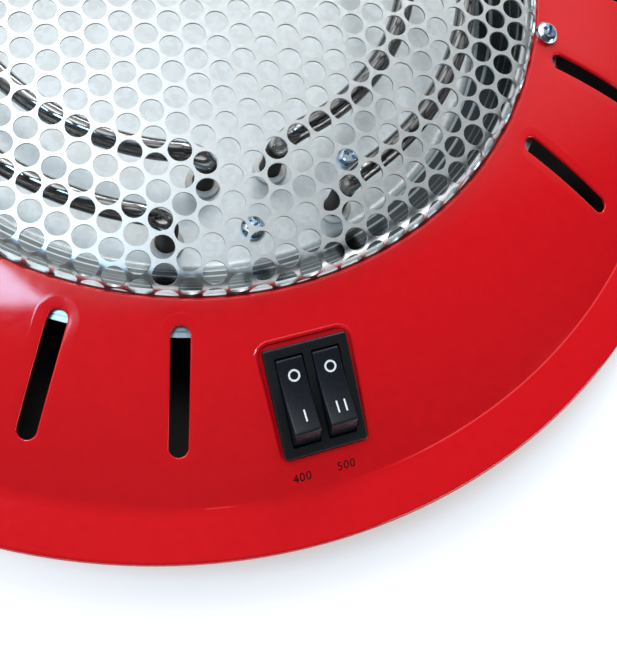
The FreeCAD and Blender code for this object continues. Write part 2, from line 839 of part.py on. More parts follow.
def make_terminal_block():
    """Three-way block with square wells for its clamp screws."""
    body = block((-block_width / 2, block_width / 2), (-block_length / 2, block_length / 2),
                 (block_seat_z, block_top_z))
    rim = [e for e in body.Edges if e.BoundBox.ZMin > block_top_z - 1e-6]
    body = body.makeChamfer(block_chamfer, rim)
    half = block_well / 2
    well = block((-half, half), (-half, half), (block_top_z - block_well_depth, block_top_z))
    wells = [placed(well, V(side * block_width / 4, way_offset(way), 0))
             for way in range(block_way_count) for side in (-1, 1)]
    return placed(body.cut(wells), block_spot, block_azimuth)


def make_lead(spots):
    """Insulated wire along straight runs, each corner eased by a short slanting run."""
    eased = spots[:1]
    for back, here, ahead in zip(spots, spots[1:], spots[2:]):
        eased.append(here + (back - here).normalize() * lead_bend)
        eased.append(here + (ahead - here).normalize() * lead_bend)
    eased.append(spots[-1])
    turn = FreeCAD.Rotation(UP, eased[1] - eased[0])
    corners = [polar(lead_diameter / 2, 360 / lead_sides * i) for i in range(lead_sides + 1)]
    section = Part.makePolygon([eased[0] + turn.multVec(corner) for corner in corners])
    mitred = 1
    return Part.Wire(Part.makePolygon(eased)).makePipeShell([section], True, False, mitred)


def tab_end(side, place, shift=0.0):
    """End of a switch tab, then the point below it on the level where the leads run."""
    x, y, _ = terminal_places(rocker_sides[side])[place]
    end = switch_placement.multVec(V(x + shift, y, -housing_depth - terminal_reach - seat_gap))
    return [end, end + switch_down * ((lead_z - end.z) / switch_down.z)]


def pin_end(spot):
    """Point below an element pin where its lead turns up, then the lead's end at the pin."""
    low = floor_under_z - sheath_below_floor - pin_length - seat_gap
    return [V(spot.x, spot.y, lead_z), V(spot.x, spot.y, low)]


def block_end(way, shift=0.0):
    """Point on the block's inner side, and one further in on the lead's way."""
    angle = math.radians(block_azimuth)
    along = V(-math.sin(angle), math.cos(angle), 0) * (way_offset(way) + shift)
    inner = polar(block_radius - block_width / 2 - seat_gap, block_azimuth, lead_z) + along
    return [inner, inner - polar(4 * lead_bend, block_azimuth)]


def make_leads():
    """Live through the cut-out and rockers to the right-hand pins, neutral to the left-hand ones."""
    inner_left, inner_right, outer_left, outer_right = [spot for spot, _ in all_leg_places()]
    beside = lead_diameter / 2 + seat_gap
    cutout_low = V(0, 0, tag_under_z - cutout_height - seat_gap)
    cutout_mid = floor_screw_places()[1] + polar(cutout_offset, cutout_screw_azimuth + 90)
    blade = polar(cutout_blade_offset, cutout_screw_azimuth + 90)
    level = V(0, 0, lead_z)
    tag_end = floor_screw_places()[0] + V(0, tag_length - lead_diameter, 0)
    return {
        "inner_lead": make_lead(tab_end("left", 1) + pin_end(inner_right)),
        "outer_lead": make_lead(tab_end("right", 1) + pin_end(outer_right)),
        "live_lead": make_lead(
            block_end(0) + [cutout_mid + blade + level, cutout_mid + blade + cutout_low]),
        "cutout_lead": make_lead([cutout_mid - blade + cutout_low, cutout_mid - blade + level]
                                 + tab_end("right", 0, beside)[::-1]),
        "live_link": make_lead(tab_end("right", 0, -beside) + tab_end("left", 0)[::-1]),
        "earth_lead": make_lead(block_end(1) + [tag_end + level, tag_end + V(0, 0, tag_under_z - seat_gap)]),
        "neutral_lead_inner": make_lead(block_end(2, -beside) + pin_end(inner_left)),
        "neutral_lead_outer": make_lead(block_end(2, beside) + pin_end(outer_left)),
    }


def make_nodes():
    nodes = {
        "cover_ring": make_cover_ring(),
        "grille": make_grille(),
        "reflector": make_reflector(),
        "inner_element": make_element(inner_loop_radius, inner_leg_spread),
        "outer_element": make_element(outer_loop_radius, outer_leg_spread),
        "inner_element_pins": make_element_pins(inner_loop_radius, inner_leg_spread),
        "outer_element_pins": make_element_pins(outer_loop_radius, outer_leg_spread),
        "end_bushes": make_end_bushes(),
        "tube_supports": make_tube_supports(),
        "floor_screws": make_floor_screws(),
        "earth_tag": make_earth_tag(),
        "thermal_cutout": make_thermal_cutout(),
        "cover_screws": make_cover_screws(),
        "pan_brackets": make_pan_brackets(),
        "base_pan": make_base_pan(),
        "feet": make_feet(),
        "cable_grommet": make_cable_grommet(),
        "switch_housing": make_switch_housing(),
        "switch_terminals": make_switch_terminals(),
        "terminal_block": make_terminal_block(),
    }
    for side, x in rocker_sides.items():
        nodes["rocker_" + side] = make_rocker(x)
        nodes["plunger_" + side] = make_plunger(x)
        nodes["contact_lever_" + side] = make_contact_lever(x)
    nodes.update(make_leads())
    return nodes


def main():
    os.makedirs("parts", exist_ok=True)
    for name, shape in make_nodes().items():
        shape.exportStep(os.path.join("parts", name + ".step"))
        print(name, len(shape.Solids), round(shape.Volume, 1), shape.isValid())
    print("switch tilt", round(switch_tilt, 2), "pad height", round(pad_surface_z, 2))
    for name, z in (("rocker pivot", pivot_z), ("lever axis", lever_axis_z)):
        print(name, switch_placement.multVec(V(0, 0, z)))
    print("inlet height", round(inlet_z, 4))


main()
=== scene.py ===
"""Electric brazier: its finished looks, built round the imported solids. Metres, in the part's own frame."""
import json
import math

import bpy
from mathutils import Matrix, Quaternion, Vector

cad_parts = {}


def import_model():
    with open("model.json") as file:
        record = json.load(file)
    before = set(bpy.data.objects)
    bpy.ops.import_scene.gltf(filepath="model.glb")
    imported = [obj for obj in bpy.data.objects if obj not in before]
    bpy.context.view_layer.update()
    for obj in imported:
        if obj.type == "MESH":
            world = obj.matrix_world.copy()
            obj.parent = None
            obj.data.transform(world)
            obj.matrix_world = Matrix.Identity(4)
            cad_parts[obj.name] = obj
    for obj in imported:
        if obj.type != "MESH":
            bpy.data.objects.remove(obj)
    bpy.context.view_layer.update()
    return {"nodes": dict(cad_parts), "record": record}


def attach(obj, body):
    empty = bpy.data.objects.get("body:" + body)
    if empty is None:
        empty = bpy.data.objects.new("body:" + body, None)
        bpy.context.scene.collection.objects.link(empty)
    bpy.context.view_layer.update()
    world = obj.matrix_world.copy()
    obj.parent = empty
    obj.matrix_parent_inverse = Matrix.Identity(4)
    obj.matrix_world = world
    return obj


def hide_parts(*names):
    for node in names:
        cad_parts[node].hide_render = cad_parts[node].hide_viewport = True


MM = 0.001
BODY = "heater"

# Sizes in millimetres and angles in degrees, where nothing else is said

# Cover ring
RING_OPENING_R = 118.3
RING_EDGE_Z = 50.9
RING_EDGE_ROLL = 0.9
RING_SHEET = 0.8
RING_STEPS = 240
COLLAR_DEPTH = 2.5
LAND_SLOPE = 12.0
FOOT_SLOPE = 29.0
CONE_STEPS = 24
CONE_END_SLOPE = 0.5
CREASE_R = 175.0
CREASE_Z = 31.0
CREASE_ROLL = 12.0
CREASE_STEPS = 24
CREASE_SPAN = 3.0
RIDGE = 0.36
RIDGE_WIDTH = 0.4
SOFT_AZIMUTH = -112.0
SOFT_HALF = 22.0
SOFT_FADE = 12.0
NICK_AZIMUTH = -101.1
NICK_HALF = 1.7
RIM_R = 190.0
RIM_Z = 29.0
RIM_ROLL = 1.5
HEM_DEPTH = 3.0
ROLL_STEPS = 6

# Vent slots; an edge goes from the face inwards by (spread past the outline, drop below the face)
SLOT_PLACES = 24
SLOTS_LEFT_OUT = (18, 19, 20)
SLOT_INNER_R = 125.9
SLOT_OUTER_R = 161.0
SLOT_WIDTH = 5.6
SLOT_SAG = 3.6
SLOT_EDGE = ((SLOT_SAG + 0.4, 0.06), (SLOT_SAG, 0.006), (3.0, 0.014), (2.2, 0.045), (1.4, 0.085), (0.7, 0.12),
             (0.42, 0.15), (0.22, 0.24), (0.08, 0.38), (0, 0.62), (0, 1.2))

# Switch pad; its ends are (half width, y, corner), and its edge goes inwards by (spread past the outline,
# share of the face's height above the pad's floor, lift of the bead, height of the window's edge)
SWITCH_R = 149.5
PAD_DEPTH = 1.5
PAD_TOP = (14.1, 17.4, 4.0)
PAD_FOOT = (13.2, -16.4, 0.8)
PAD_ROLL = 0.8
PAD_CORNER_STEPS = 7
PAD_CUT = (-4.0, 6.0)
PAD_EDGE = ((1.5, 1, -0.05), (1.3, 1, 0), (1.05, 1, 0.1), (0.85, 1, 0.13), (0.6, 0.985, 0.05), (0.3, 0.9),
            (0.1, 0.75), (0, 0.5), (0, 0.2), (-0.12, 0.06), (-0.4, 0), (-0.4, 0, 0, 0),
            (-0.4, 0, 0, -RING_SHEET))
BEAD_END_Y = -15.0
BEAD_FADE = 6.0
WINDOW_WIDTH = 22.2
WINDOW_LENGTH = 30.2

# Grille
APEX_Z = 62.0
GRILLE_R = 117.5
GRILLE_SHEET = 0.6
GRILLE_STEPS = 180
DOME_R = 1147.0
DOME_EDGE = 5.0
DOME_STEPS = 40
DOME_EDGE_STEPS = 10
FLANGE_R = 127.0
FLANGE_DROP = COLLAR_DEPTH + 0.1
FLANGE_ROLL = 1.2
FLANGE_STEPS = 5
HOLE_PITCH = 8.0
HOLE_DIAMETER = 7.0
HOLE_SIDES = 18
HOLE_EASE = 0.12
HOLE_ROW_AZIMUTH = 19.65
HOLE_OFFSET = (-0.37, -1.22)
CELL_SIDES = 6
ROW_MARGIN = 1.2
BLANK_SHEET = 0.5
BLANK_CUT = 20.0
BLANK_TOP_NORMAL = 0.9

# Heating elements; a loop is (radius, spread of its legs), and an eased edge (radius, steps)
TUBE_R = 3.25
TUBE_SIDES = 20
TUBE_Z = 50.0
LOOPS = {"inner": (73.4, 22.0), "outer": (94.0, 55.0)}
LOOP_STEPS = 72
LEG_BEND = 9.0
LEG_STEPS = 10
LEG_END_Z = 23.4
BUSH_BORE_R = 3.4
BUSH_R = 4.6
BUSH_FLANGE_R = 5.5
BUSH_LOW_Z = 25.2
BUSH_SEAT_Z = 29.1
BUSH_TOP_Z = 30.5
BUSH_EASE = (0.3, 3)
BUSH_FLANGE_EASE = (0.5, 5)
BUSH_STEPS = 32

# Reflector bowl; a roll is (radius, steps)
BOWL_FLOOR_Z = 29.0
BOWL_FLOOR_R = 102.0
BOWL_FLOOR_ROLL = (3.0, 8)
BOWL_MOUTH_R = 115.4
BOWL_MOUTH_ROLL = (1.5, 6)
BOWL_SHEET = 0.6
BOWL_STEPS = 200
REFLECTOR_R = 128.5
REFLECTOR_DROP = 3.31

# Screws; a corner of the head is (r, z, radius, steps), and a floor screw's place (r, azimuth)
HEAD_R = 3.9
HEAD_EDGE = (HEAD_R, 1.2, 0.5, 4)
HEAD_CROWN = (2.6, 2.35, 2.0, 5)
HEAD_TOP_Z = 2.6
HEAD_STEPS = 40
RECESS_WIDTH = 1.05
RECESS_LENGTH = 4.5
RECESS_LOW_Z = 1.0
RECESS_HIGH_Z = 3.6
RECESS_CORNER = 0.3
RECESS_FLARE = 0.25
SHANK_R = 1.75
SHANK_LENGTH = 7.0
SCREW_LIFT = 0.1
COVER_SCREW_R = 122.0
COVER_SCREW_AZIMUTHS = (-26.6, 93.4, 213.4)
COVER_SCREW_TURN = 20.0
FLOOR_SCREWS = ((91.5, -90.0), (83.8, -63.2))
FLOOR_SCREW_TURN = 15.0

# Switch, in a frame of its own on the pad's floor, with +Y towards the grille
BEZEL = (25.4, 32.2)
BEZEL_LOW_Z = 0.1
BEZEL_TOP_Z = 2.2
BEZEL_CORNER = 0.8
BEZEL_EASE = 0.55
HOUSING = (21.6, 29.6)
HOUSING_DEPTH = 17.0
HOUSING_TOP_Z = 0.6
HOUSING_CORNER = 0.6
ROCKER_WINDOW = (8.6, 26.4)
ROCKER_WINDOW_FLOOR = 1.5
ROCKER_WINDOW_TOP_Z = 4.0
ROCKER_WINDOW_CORNER = 0.35
ROCKER_X = {"left": -5.5, "right": 5.5}
ROCKER_SWING = 18.0
ROCKER_WIDTH = 8.0
ROCKER_REACH = 12.9
ROCKER_RISE = 4.2
ROCKER_DISH = 1.3
ROCKER_SKIRT = 3.0
ROCKER_NOSE = 9.7
ROCKER_NOSE_Z = 0.9
ROCKER_LEAN = 1.6
ROCKER_EASE = 0.45
ROCKER_TOP_STEPS = 22
ROCKER_END_STEPS = 8
PIVOT_Z = -1.0
AXLE_R = 1.2
AXLE_LENGTH = 10.2
STEM_WIDTH = 4.6
STEM_LOW_Z = -7.5
STEM_HIGH_Z = -3.5
STEM_CORNER = 0.4

# Prints on the rockers and on the ring
OFF_RADII = (1.78, 1.22)
OFF_PLACE = (0.35, 6.8)
STROKE_SIZE = (0.5, 3.4)
STROKE_CUTS = (2, 6)
STROKES_PLACE = (0.5, -4.9)
STROKES = {"left": (0,), "right": (-1.2, 1.2)}
MARK_LIFT = 0.03
NUMBERS = (("400", -8.6), ("500", 5.0))
NUMBERS_Y = -21.9
NUMBER_SIZE = 3.5
NUMBER_SPACING = 1.12
NUMBER_LIFT = 0.04
PRINT_SHEET = 0.03

# Mesh making; TINY tells a length from zero, and a sharp angle is the least that shading keeps
WELD = 0.001
COARSE_WELD = 0.02
TINY = 1e-6
NEAREST_POINTS = 1e-4
CIRCLE_SIDES = 40
SMALL_ROUND_SIDES = 24
CORNER_STEPS = 8
LONG_EDGE = 5.0
LONG_EDGE_CUTS = 14
FACE_ROUNDS = 4
SHARP_RIM = 60
SHARP_RING = 25
SHARP_SHEET = 40
SHARP_SMALL = 35
EASED_ANGLE = 60

# Finishes; a tone is (position, colour)
PATTERN_LOW = 0.3
PATTERN_HIGH = 0.7
# The sheath's tones follow height: brown and dull low down on the bends and legs, then a painted reflection
# along the loops, light on the tube's underside and dark along its top.
SHEATH_TONE_LOW_Z = 45.0
SHEATH_TONE_HIGH_Z = 57.0
SHEATH_RAGGED = 6.0
SHEATH_RAGGED_SCALE = 160
SHEATH_GRAIN = 0.01
SHEATH_GRAIN_SCALE = 900
SHEATH_TONES_AND_PAINTED_REFLECTION = ((0.15, (0.07, 0.055, 0.045)), (0.33, (0.70, 0.70, 0.69)), (0.5, (0.55, 0.55, 0.55)),
                (0.72, (0.24, 0.24, 0.24)))
SHEATH_DULL = (0.1, 0.35, 0.6, 0.15)
WALL_LOW_Z = 30.0
WALL_HIGH_Z = 32.5
WALL_MOUTH_FADE = 1.0
# The wall's streaks follow the rolled sheet; their mostly dark tone is a painted reflection of the dark
# grille lip and holes it faces.
STREAK_SCALE = 420
STREAK_AND_PAINTED_REFLECTION_TONES = ((0.56, (0.06, 0.069, 0.073)), (0.72, (0.60, 0.65, 0.66)))
BOWL_ROUGHNESS = 0.42
WALL_ROUGHNESS = 0.16

# Stage; the room's light along an axis is (from, to, strength at from, strength at to)
GROUND_SIZE = 8000.0
GROUND_DROP = 0.2
GROUND_GREY = 0.88
GROUND_GLOW = 0.48
ROOM_BACK = (-0.1, 0.28, 0.08, 1.8)
ROOM_RIGHT = (-0.2, 0.55, 1.15, 0.37)
ROOM_HIGH = (0.1, 0.6, 0.3, 1.0)
LENS = 53.39
SENSOR = 36
CLIP_START = 10.0
EYE = (-68.4, -189.8, 307.6)
AIM = (3.6, -129.4, 45.0)
CAMERA_ROLL = 34.3


# Drawing helpers

def deselect():
    """Object mode with nothing selected."""
    if bpy.context.object and bpy.context.object.mode != "OBJECT":
        bpy.ops.object.mode_set(mode="OBJECT")
    bpy.ops.object.select_all(action="DESELECT")


def make_active(obj):
    deselect()
    obj.select_set(True)
    bpy.context.view_layer.objects.active = obj


def edit(obj):
    """Edit mode on one object with its whole mesh selected."""
    make_active(obj)
    bpy.ops.object.mode_set(mode="EDIT")
    bpy.ops.mesh.select_mode(type="VERT")
    bpy.ops.mesh.select_all(action="SELECT")


def leave():
    bpy.ops.object.mode_set(mode="OBJECT")


def select_none(obj, mode):
    """Nothing selected on an object, ready to pick its edges or faces one by one."""
    edit(obj)
    bpy.ops.mesh.select_mode(type=mode)
    bpy.ops.mesh.select_all(action="DESELECT")
    leave()


def edit_edges(obj, wanted):
    """Edit mode with those edges selected whose two ends pass a test."""
    select_none(obj, "EDGE")
    for edge in obj.data.edges:
        edge.select = wanted(*(obj.data.vertices[i].co for i in edge.vertices))
    bpy.ops.object.mode_set(mode="EDIT")


def apply_place(obj):
    make_active(obj)
    bpy.ops.object.transform_apply(location=True, rotation=True, scale=True)


def apply_modifier(obj, kind, **settings):
    """Change a mesh by one modifier."""
    make_active(obj)
    modifier = obj.modifiers.new(kind.lower(), kind)
    for setting, value in settings.items():
        setattr(modifier, setting, value)
    bpy.ops.object.modifier_apply(modifier=modifier.name)


def boolean(obj, cutter, operation="DIFFERENCE"):
    """Cut, join or intersect an object with another, which is then removed."""
    apply_modifier(obj, "BOOLEAN", object=cutter, operation=operation, solver="EXACT")
    bpy.data.objects.remove(cutter)


def thicken(obj, thickness, offset=-1):
    apply_modifier(obj, "SOLIDIFY", thickness=thickness * MM, offset=offset, use_even_offset=True)


def bevelled(obj, width, segments=3, angle=40):
    apply_modifier(obj, "BEVEL", width=width * MM, segments=segments, limit_method="ANGLE",
                   angle_limit=math.radians(angle))


def smooth(obj, angle):
    make_active(obj)
    bpy.ops.object.shade_smooth_by_angle(angle=math.radians(angle))


def tidy_mesh(obj, gap=WELD):
    """Merge doubled vertices and turn every face outwards."""
    edit(obj)
    bpy.ops.mesh.remove_doubles(threshold=gap * MM)
    bpy.ops.mesh.normals_make_consistent(inside=False)
    leave()


def joined(objs):
    """Join several objects into the first."""
    deselect()
    for obj in objs:
        obj.select_set(True)
    bpy.context.view_layer.objects.active = objs[0]
    bpy.ops.object.join()
    return objs[0]


def copied(obj):
    """A copy with a mesh of its own."""
    copy = obj.copy()
    copy.data = obj.data.copy()
    bpy.context.collection.objects.link(copy)
    return copy


def turned_copy(obj, azimuth):
    """A copy turned about the heater's axis."""
    copy = copied(obj)
    copy.rotation_euler = (0, 0, math.radians(azimuth))
    apply_place(copy)
    return copy


def shift(obj, x, y=0.0, z=0.0):
    """Move a mesh, in millimetres."""
    obj.data.transform(Matrix.Translation((x * MM, y * MM, z * MM)))


def circle(sides, radius):
    """Flat loop of edges round the origin."""
    deselect()
    bpy.ops.mesh.primitive_circle_add(vertices=sides, radius=radius * MM, fill_type="NOTHING")
    return bpy.context.object


def drawn_line(name, points):
    """Chain of edges in the XZ plane through (r, z) points, drawn by extruding one vertex."""
    deselect()
    bpy.ops.mesh.primitive_plane_add(size=MM)
    obj = bpy.context.object
    obj.name = name
    edit(obj)
    bpy.ops.mesh.merge(type="CENTER")
    spots = [Vector((r * MM, 0, z * MM)) for r, z in points]
    bpy.ops.transform.translate(value=spots[0])
    for a, b in zip(spots, spots[1:]):
        bpy.ops.mesh.extrude_vertices_move(TRANSFORM_OT_translate={"value": b - a})
    leave()
    return obj


def spun(name, points, steps):
    """Surface of revolution about the heater's axis."""
    obj = drawn_line(name, points)
    edit(obj)
    bpy.ops.mesh.spin(steps=steps, angle=math.radians(360), center=(0, 0, 0), axis=(0, 0, 1))
    leave()
    tidy_mesh(obj)
    return obj


def bent(corners):
    """Points along (r, z) corners, where a corner (r, z, radius, steps) is rounded."""
    points = []
    for i, (r, z, *bend) in enumerate(corners):
        if not bend:
            points.append((r, z))
            continue
        radius, steps = bend
        before = math.atan2(z - corners[i - 1][1], r - corners[i - 1][0])
        after = math.atan2(corners[i + 1][1] - z, corners[i + 1][0] - r)
        turn = math.remainder(after - before, 2 * math.pi)
        side = math.copysign(radius, turn)
        reach = radius * math.tan(abs(turn) / 2)
        centre_r = r - reach * math.cos(before) - side * math.sin(before)
        centre_z = z - reach * math.sin(before) + side * math.cos(before)
        for step in range(steps + 1):
            slope = before + turn * step / steps
            points.append((centre_r + side * math.sin(slope), centre_z - side * math.cos(slope)))
    return [b for a, b in zip(points[-1:] + points, points) if math.dist(a, b) > NEAREST_POINTS]


def rounded_slab(width, length, low, high, radius, flare=0.0):
    """Upright slab on a rounded rectangle, in millimetres, its top wider by the flare."""
    deselect()
    bpy.ops.mesh.primitive_cube_add(size=MM)
    obj = bpy.context.object
    obj.scale = (width, length, high - low)
    obj.location = (0, 0, (high + low) / 2 * MM)
    apply_place(obj)
    edit_edges(obj, lambda a, b: abs(a.z - b.z) > 0.5 * (high - low) * MM)
    bpy.ops.mesh.bevel(offset=radius * MM, segments=CORNER_STEPS)
    leave()
    if flare:
        spread = flare * (high - low) / high
        for vertex in obj.data.vertices:
            if vertex.co.z > (low + high) / 2 * MM:
                vertex.co.x *= 1 + 2 * spread / width
                vertex.co.y *= 1 + 2 * spread / length
    return obj


def hand_over(obj, name, slot, material, *nodes, body=BODY):
    """Name a finished piece, dress it and let it stand for CAD nodes."""
    obj.name = name
    obj.data.materials.clear()
    obj.data.materials.append(material)
    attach(obj, body)
    if nodes:
        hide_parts(*nodes)


# Cover ring

land_rise = math.tan(math.radians(LAND_SLOPE))
foot_rise = math.tan(math.radians(FOOT_SLOPE))
cone_corner_r = ((CREASE_Z - RING_EDGE_Z + CREASE_R * foot_rise - RING_OPENING_R * land_rise)
                 / (foot_rise - land_rise))
cone_corner_z = RING_EDGE_Z - (cone_corner_r - RING_OPENING_R) * land_rise
cone_r = (math.hypot(CREASE_R - cone_corner_r, CREASE_Z - cone_corner_z)
          / math.tan(math.radians(FOOT_SLOPE - LAND_SLOPE) / 2))
cone_centre = (CREASE_R - cone_r * math.sin(math.radians(FOOT_SLOPE)),
               CREASE_Z - cone_r * math.cos(math.radians(FOOT_SLOPE)))
switch_tilt = math.asin((SWITCH_R - cone_centre[0]) / cone_r)
pad_z = cone_centre[1] + cone_r * math.cos(switch_tilt)
switch_place = (Matrix.Translation(Vector((0, -SWITCH_R, pad_z)) * MM)
                @ Matrix.Rotation(switch_tilt, 4, "X")
                @ Matrix.Translation((0, 0, -PAD_DEPTH * MM)))


def on_switch(obj):
    """Move a piece from the switch's own frame to its place on the ring."""
    obj.data.transform(switch_place)


def land_z(radius, drop):
    """Height at a drop below the ring's land, or below the land drawn on inwards."""
    return RING_EDGE_Z - (radius - RING_OPENING_R) * land_rise - drop


def ring_z(radius):
    """Height of the ring's upper face on its cone."""
    return cone_centre[1] + math.sqrt(cone_r ** 2 - (radius - cone_centre[0]) ** 2)


def cone_points():
    """Points along the cone's gentle bow, from the land down to just short of the crease."""
    turn = FOOT_SLOPE - CONE_END_SLOPE - LAND_SLOPE
    slopes = [math.radians(LAND_SLOPE + turn * i / CONE_STEPS) for i in range(CONE_STEPS)]
    return [(cone_centre[0] + cone_r * math.sin(slope), cone_centre[1] + cone_r * math.cos(slope))
            for slope in slopes]


def ring_points():
    """Collar, land, cone, the soft crease, lip and hem."""
    return bent([
        (RING_OPENING_R, RING_EDGE_Z - COLLAR_DEPTH),
        (RING_OPENING_R, RING_EDGE_Z, RING_EDGE_ROLL, ROLL_STEPS),
        *cone_points(),
        (CREASE_R, CREASE_Z, CREASE_ROLL, CREASE_STEPS),
        (RIM_R, RIM_Z, RIM_ROLL, ROLL_STEPS),
        (RIM_R, RIM_Z - HEM_DEPTH)])


def sharpen_crease(ring):
    """Make the crease sharp with a fine ridge, except at the front left, where only a nick has it."""
    for vertex in ring.data.vertices:
        radius = math.hypot(vertex.co.x, vertex.co.y) / MM
        past = radius - CREASE_R
        if abs(past) > CREASE_SPAN:
            continue
        azimuth = math.degrees(math.atan2(vertex.co.y, vertex.co.x))
        away = abs(math.remainder(azimuth - SOFT_AZIMUTH, 360))
        share = min(1, max(0, (away - SOFT_HALF) / SOFT_FADE))
        nick = math.exp(-(math.remainder(azimuth - NICK_AZIMUTH, 360) / NICK_HALF) ** 2)
        if past < 0:
            height = ring_z(radius) + RIDGE * max(0, 1 + past / RIDGE_WIDTH)
        else:
            height = CREASE_Z + RIDGE - (CREASE_Z + RIDGE - RIM_Z) * past / (RIM_R - CREASE_R)
        vertex.co.z += max(share, nick) * (height * MM - vertex.co.z)


def outward_normals(loop):
    """Unit directions away from a closed flat loop of edges, one for each vertex."""
    beside = {vertex.index: [] for vertex in loop.data.vertices}
    for edge in loop.data.edges:
        for i, j in (edge.vertices, reversed(edge.vertices)):
            beside[i].append(loop.data.vertices[j].co)
    middle = sum((vertex.co for vertex in loop.data.vertices), Vector()) / len(beside)
    normals = []
    for vertex in loop.data.vertices:
        along = beside[vertex.index][1] - beside[vertex.index][0]
        away = Vector((along.y, -along.x, 0)).normalized()
        normals.append(away if away.dot(vertex.co - middle) > 0 else -away)
    return normals


def split_long_edges(loop):
    """Divide a loop's straight runs, so that they can follow the ring's face."""
    edit_edges(loop, lambda a, b: (a - b).length > LONG_EDGE * MM)
    bpy.ops.mesh.subdivide(number_cuts=LONG_EDGE_CUTS)
    leave()


def slot_loop():
    """Outline of the slot at azimuth zero."""
    loop = circle(CIRCLE_SIDES, SLOT_WIDTH / 2)
    for vertex in loop.data.vertices:
        far = vertex.co.x > TINY
        vertex.co.x += (SLOT_OUTER_R - SLOT_WIDTH / 2 if far else SLOT_INNER_R + SLOT_WIDTH / 2) * MM
    split_long_edges(loop)
    return loop


def pad_loop():
    """Outline of the switch pad in the switch's own frame, narrower at its foot."""
    deselect()
    bpy.ops.mesh.primitive_plane_add(size=2 * MM)
    loop = bpy.context.object
    for vertex in loop.data.vertices:
        half, reach, _ = PAD_TOP if vertex.co.y > 0 else PAD_FOOT
        vertex.co = (math.copysign(half, vertex.co.x) * MM, reach * MM, 0)
    for _, reach, radius in (PAD_TOP, PAD_FOOT):
        select_none(loop, "VERT")
        for vertex in loop.data.vertices:
            vertex.select = abs(vertex.co.y - reach * MM) < TINY
        bpy.ops.object.mode_set(mode="EDIT")
        bpy.ops.mesh.bevel(offset=radius * MM, segments=PAD_CORNER_STEPS, affect="VERTICES")
        leave()
    edit(loop)
    bpy.ops.mesh.delete(type="ONLY_FACE")
    leave()
    split_long_edges(loop)
    return loop


def slab_on(loop, spread, low, high):
    """Upright slab on a copy of a loop that is spread outwards."""
    slab = copied(loop)
    for vertex, away in zip(slab.data.vertices, outward_normals(loop)):
        vertex.co += away * spread * MM
        vertex.co.z = low * MM
    edit(slab)
    bpy.ops.mesh.edge_face_add()
    bpy.ops.mesh.extrude_region_move(TRANSFORM_OT_translate={"value": (0, 0, (high - low) * MM)})
    leave()
    tidy_mesh(slab)
    return slab


def swept_rim(loop, steps, spot):
    """Carry a closed loop of edges through steps; spot gives a vertex of it its place at a step."""
    count = len(loop.data.vertices)
    starts = [(vertex.co / MM, away) for vertex, away in zip(loop.data.vertices, outward_normals(loop))]
    places = {}
    for vertex, start in zip(loop.data.vertices, starts):
        vertex.co = spot(*start, *steps[0])
        places[tuple(vertex.co)] = start
    edit(loop)
    for step in steps[1:]:
        bpy.ops.object.mode_set(mode="EDIT")
        bpy.ops.mesh.extrude_region_move()
        leave()
        moved = {}
        for vertex in loop.data.vertices[-count:]:
            start = places[tuple(vertex.co)]
            vertex.co = spot(*start, *step)
            moved[tuple(vertex.co)] = start
        places = moved
    tidy_mesh(loop)
    return loop


def slot_rim(loop):
    """Edge of a slot: the face sags gently towards it and rolls over into it."""
    def spot(point, away, spread, drop):
        place = point + away * spread
        return Vector((place.x, place.y, ring_z(place.length) - drop)) * MM
    return swept_rim(loop, SLOT_EDGE, spot)


def above_pad(x, y):
    """Height of the ring's face above the pad's floor, at a place in the switch's own frame."""
    height = PAD_DEPTH
    for _ in range(FACE_ROUNDS):
        place = switch_place @ (Vector((x, y, height)) * MM) / MM
        height += (ring_z(math.hypot(place.x, place.y)) - place.z) * math.cos(switch_tilt)
    return height


def pad_tray(loop):
    """Pressed pad: its edge rolled over from the ring's face, wall, floor and the switch's window."""
    def spot(point, away, spread, share, lift=0, window=None):
        place = point + away * spread
        if window is None:
            bead = lift * max(0, min(1, (place.y - BEAD_END_Y) / BEAD_FADE))
            return Vector((place.x, place.y, above_pad(place.x, place.y) * share + bead)) * MM
        x = max(-WINDOW_WIDTH / 2, min(WINDOW_WIDTH / 2, place.x))
        y = max(-WINDOW_LENGTH / 2, min(WINDOW_LENGTH / 2, place.y))
        return Vector((x, y, window)) * MM
    tray = swept_rim(loop, PAD_EDGE, spot)
    on_switch(tray)
    return tray


def make_cover_ring(material):
    """Pressed ring with its vent slots and the switch pad, each cut out and given a rolled edge."""
    ring = spun("cover_ring_shell", ring_points(), RING_STEPS)
    sharpen_crease(ring)
    thicken(ring, RING_SHEET)
    slots = [360 / SLOT_PLACES * i for i in range(SLOT_PLACES) if i not in SLOTS_LEFT_OUT]
    outline = slot_loop()
    cutter = slab_on(outline, SLOT_SAG, CREASE_Z, APEX_Z)
    rim = slot_rim(outline)
    smooth(rim, SHARP_RIM)
    rims = [turned_copy(rim, azimuth) for azimuth in slots]
    boolean(ring, joined([turned_copy(cutter, azimuth) for azimuth in slots]))
    for obj in (cutter, rim):
        bpy.data.objects.remove(obj)
    pad = pad_loop()
    cutter = slab_on(pad, PAD_ROLL, *PAD_CUT)
    on_switch(cutter)
    boolean(ring, cutter)
    tray = pad_tray(pad)
    smooth(ring, SHARP_RING)
    smooth(tray, SHARP_RIM)
    hand_over(joined([ring, tray] + rims), "enamelled_ring", "red_enamel", material, "cover_ring")


# Grille

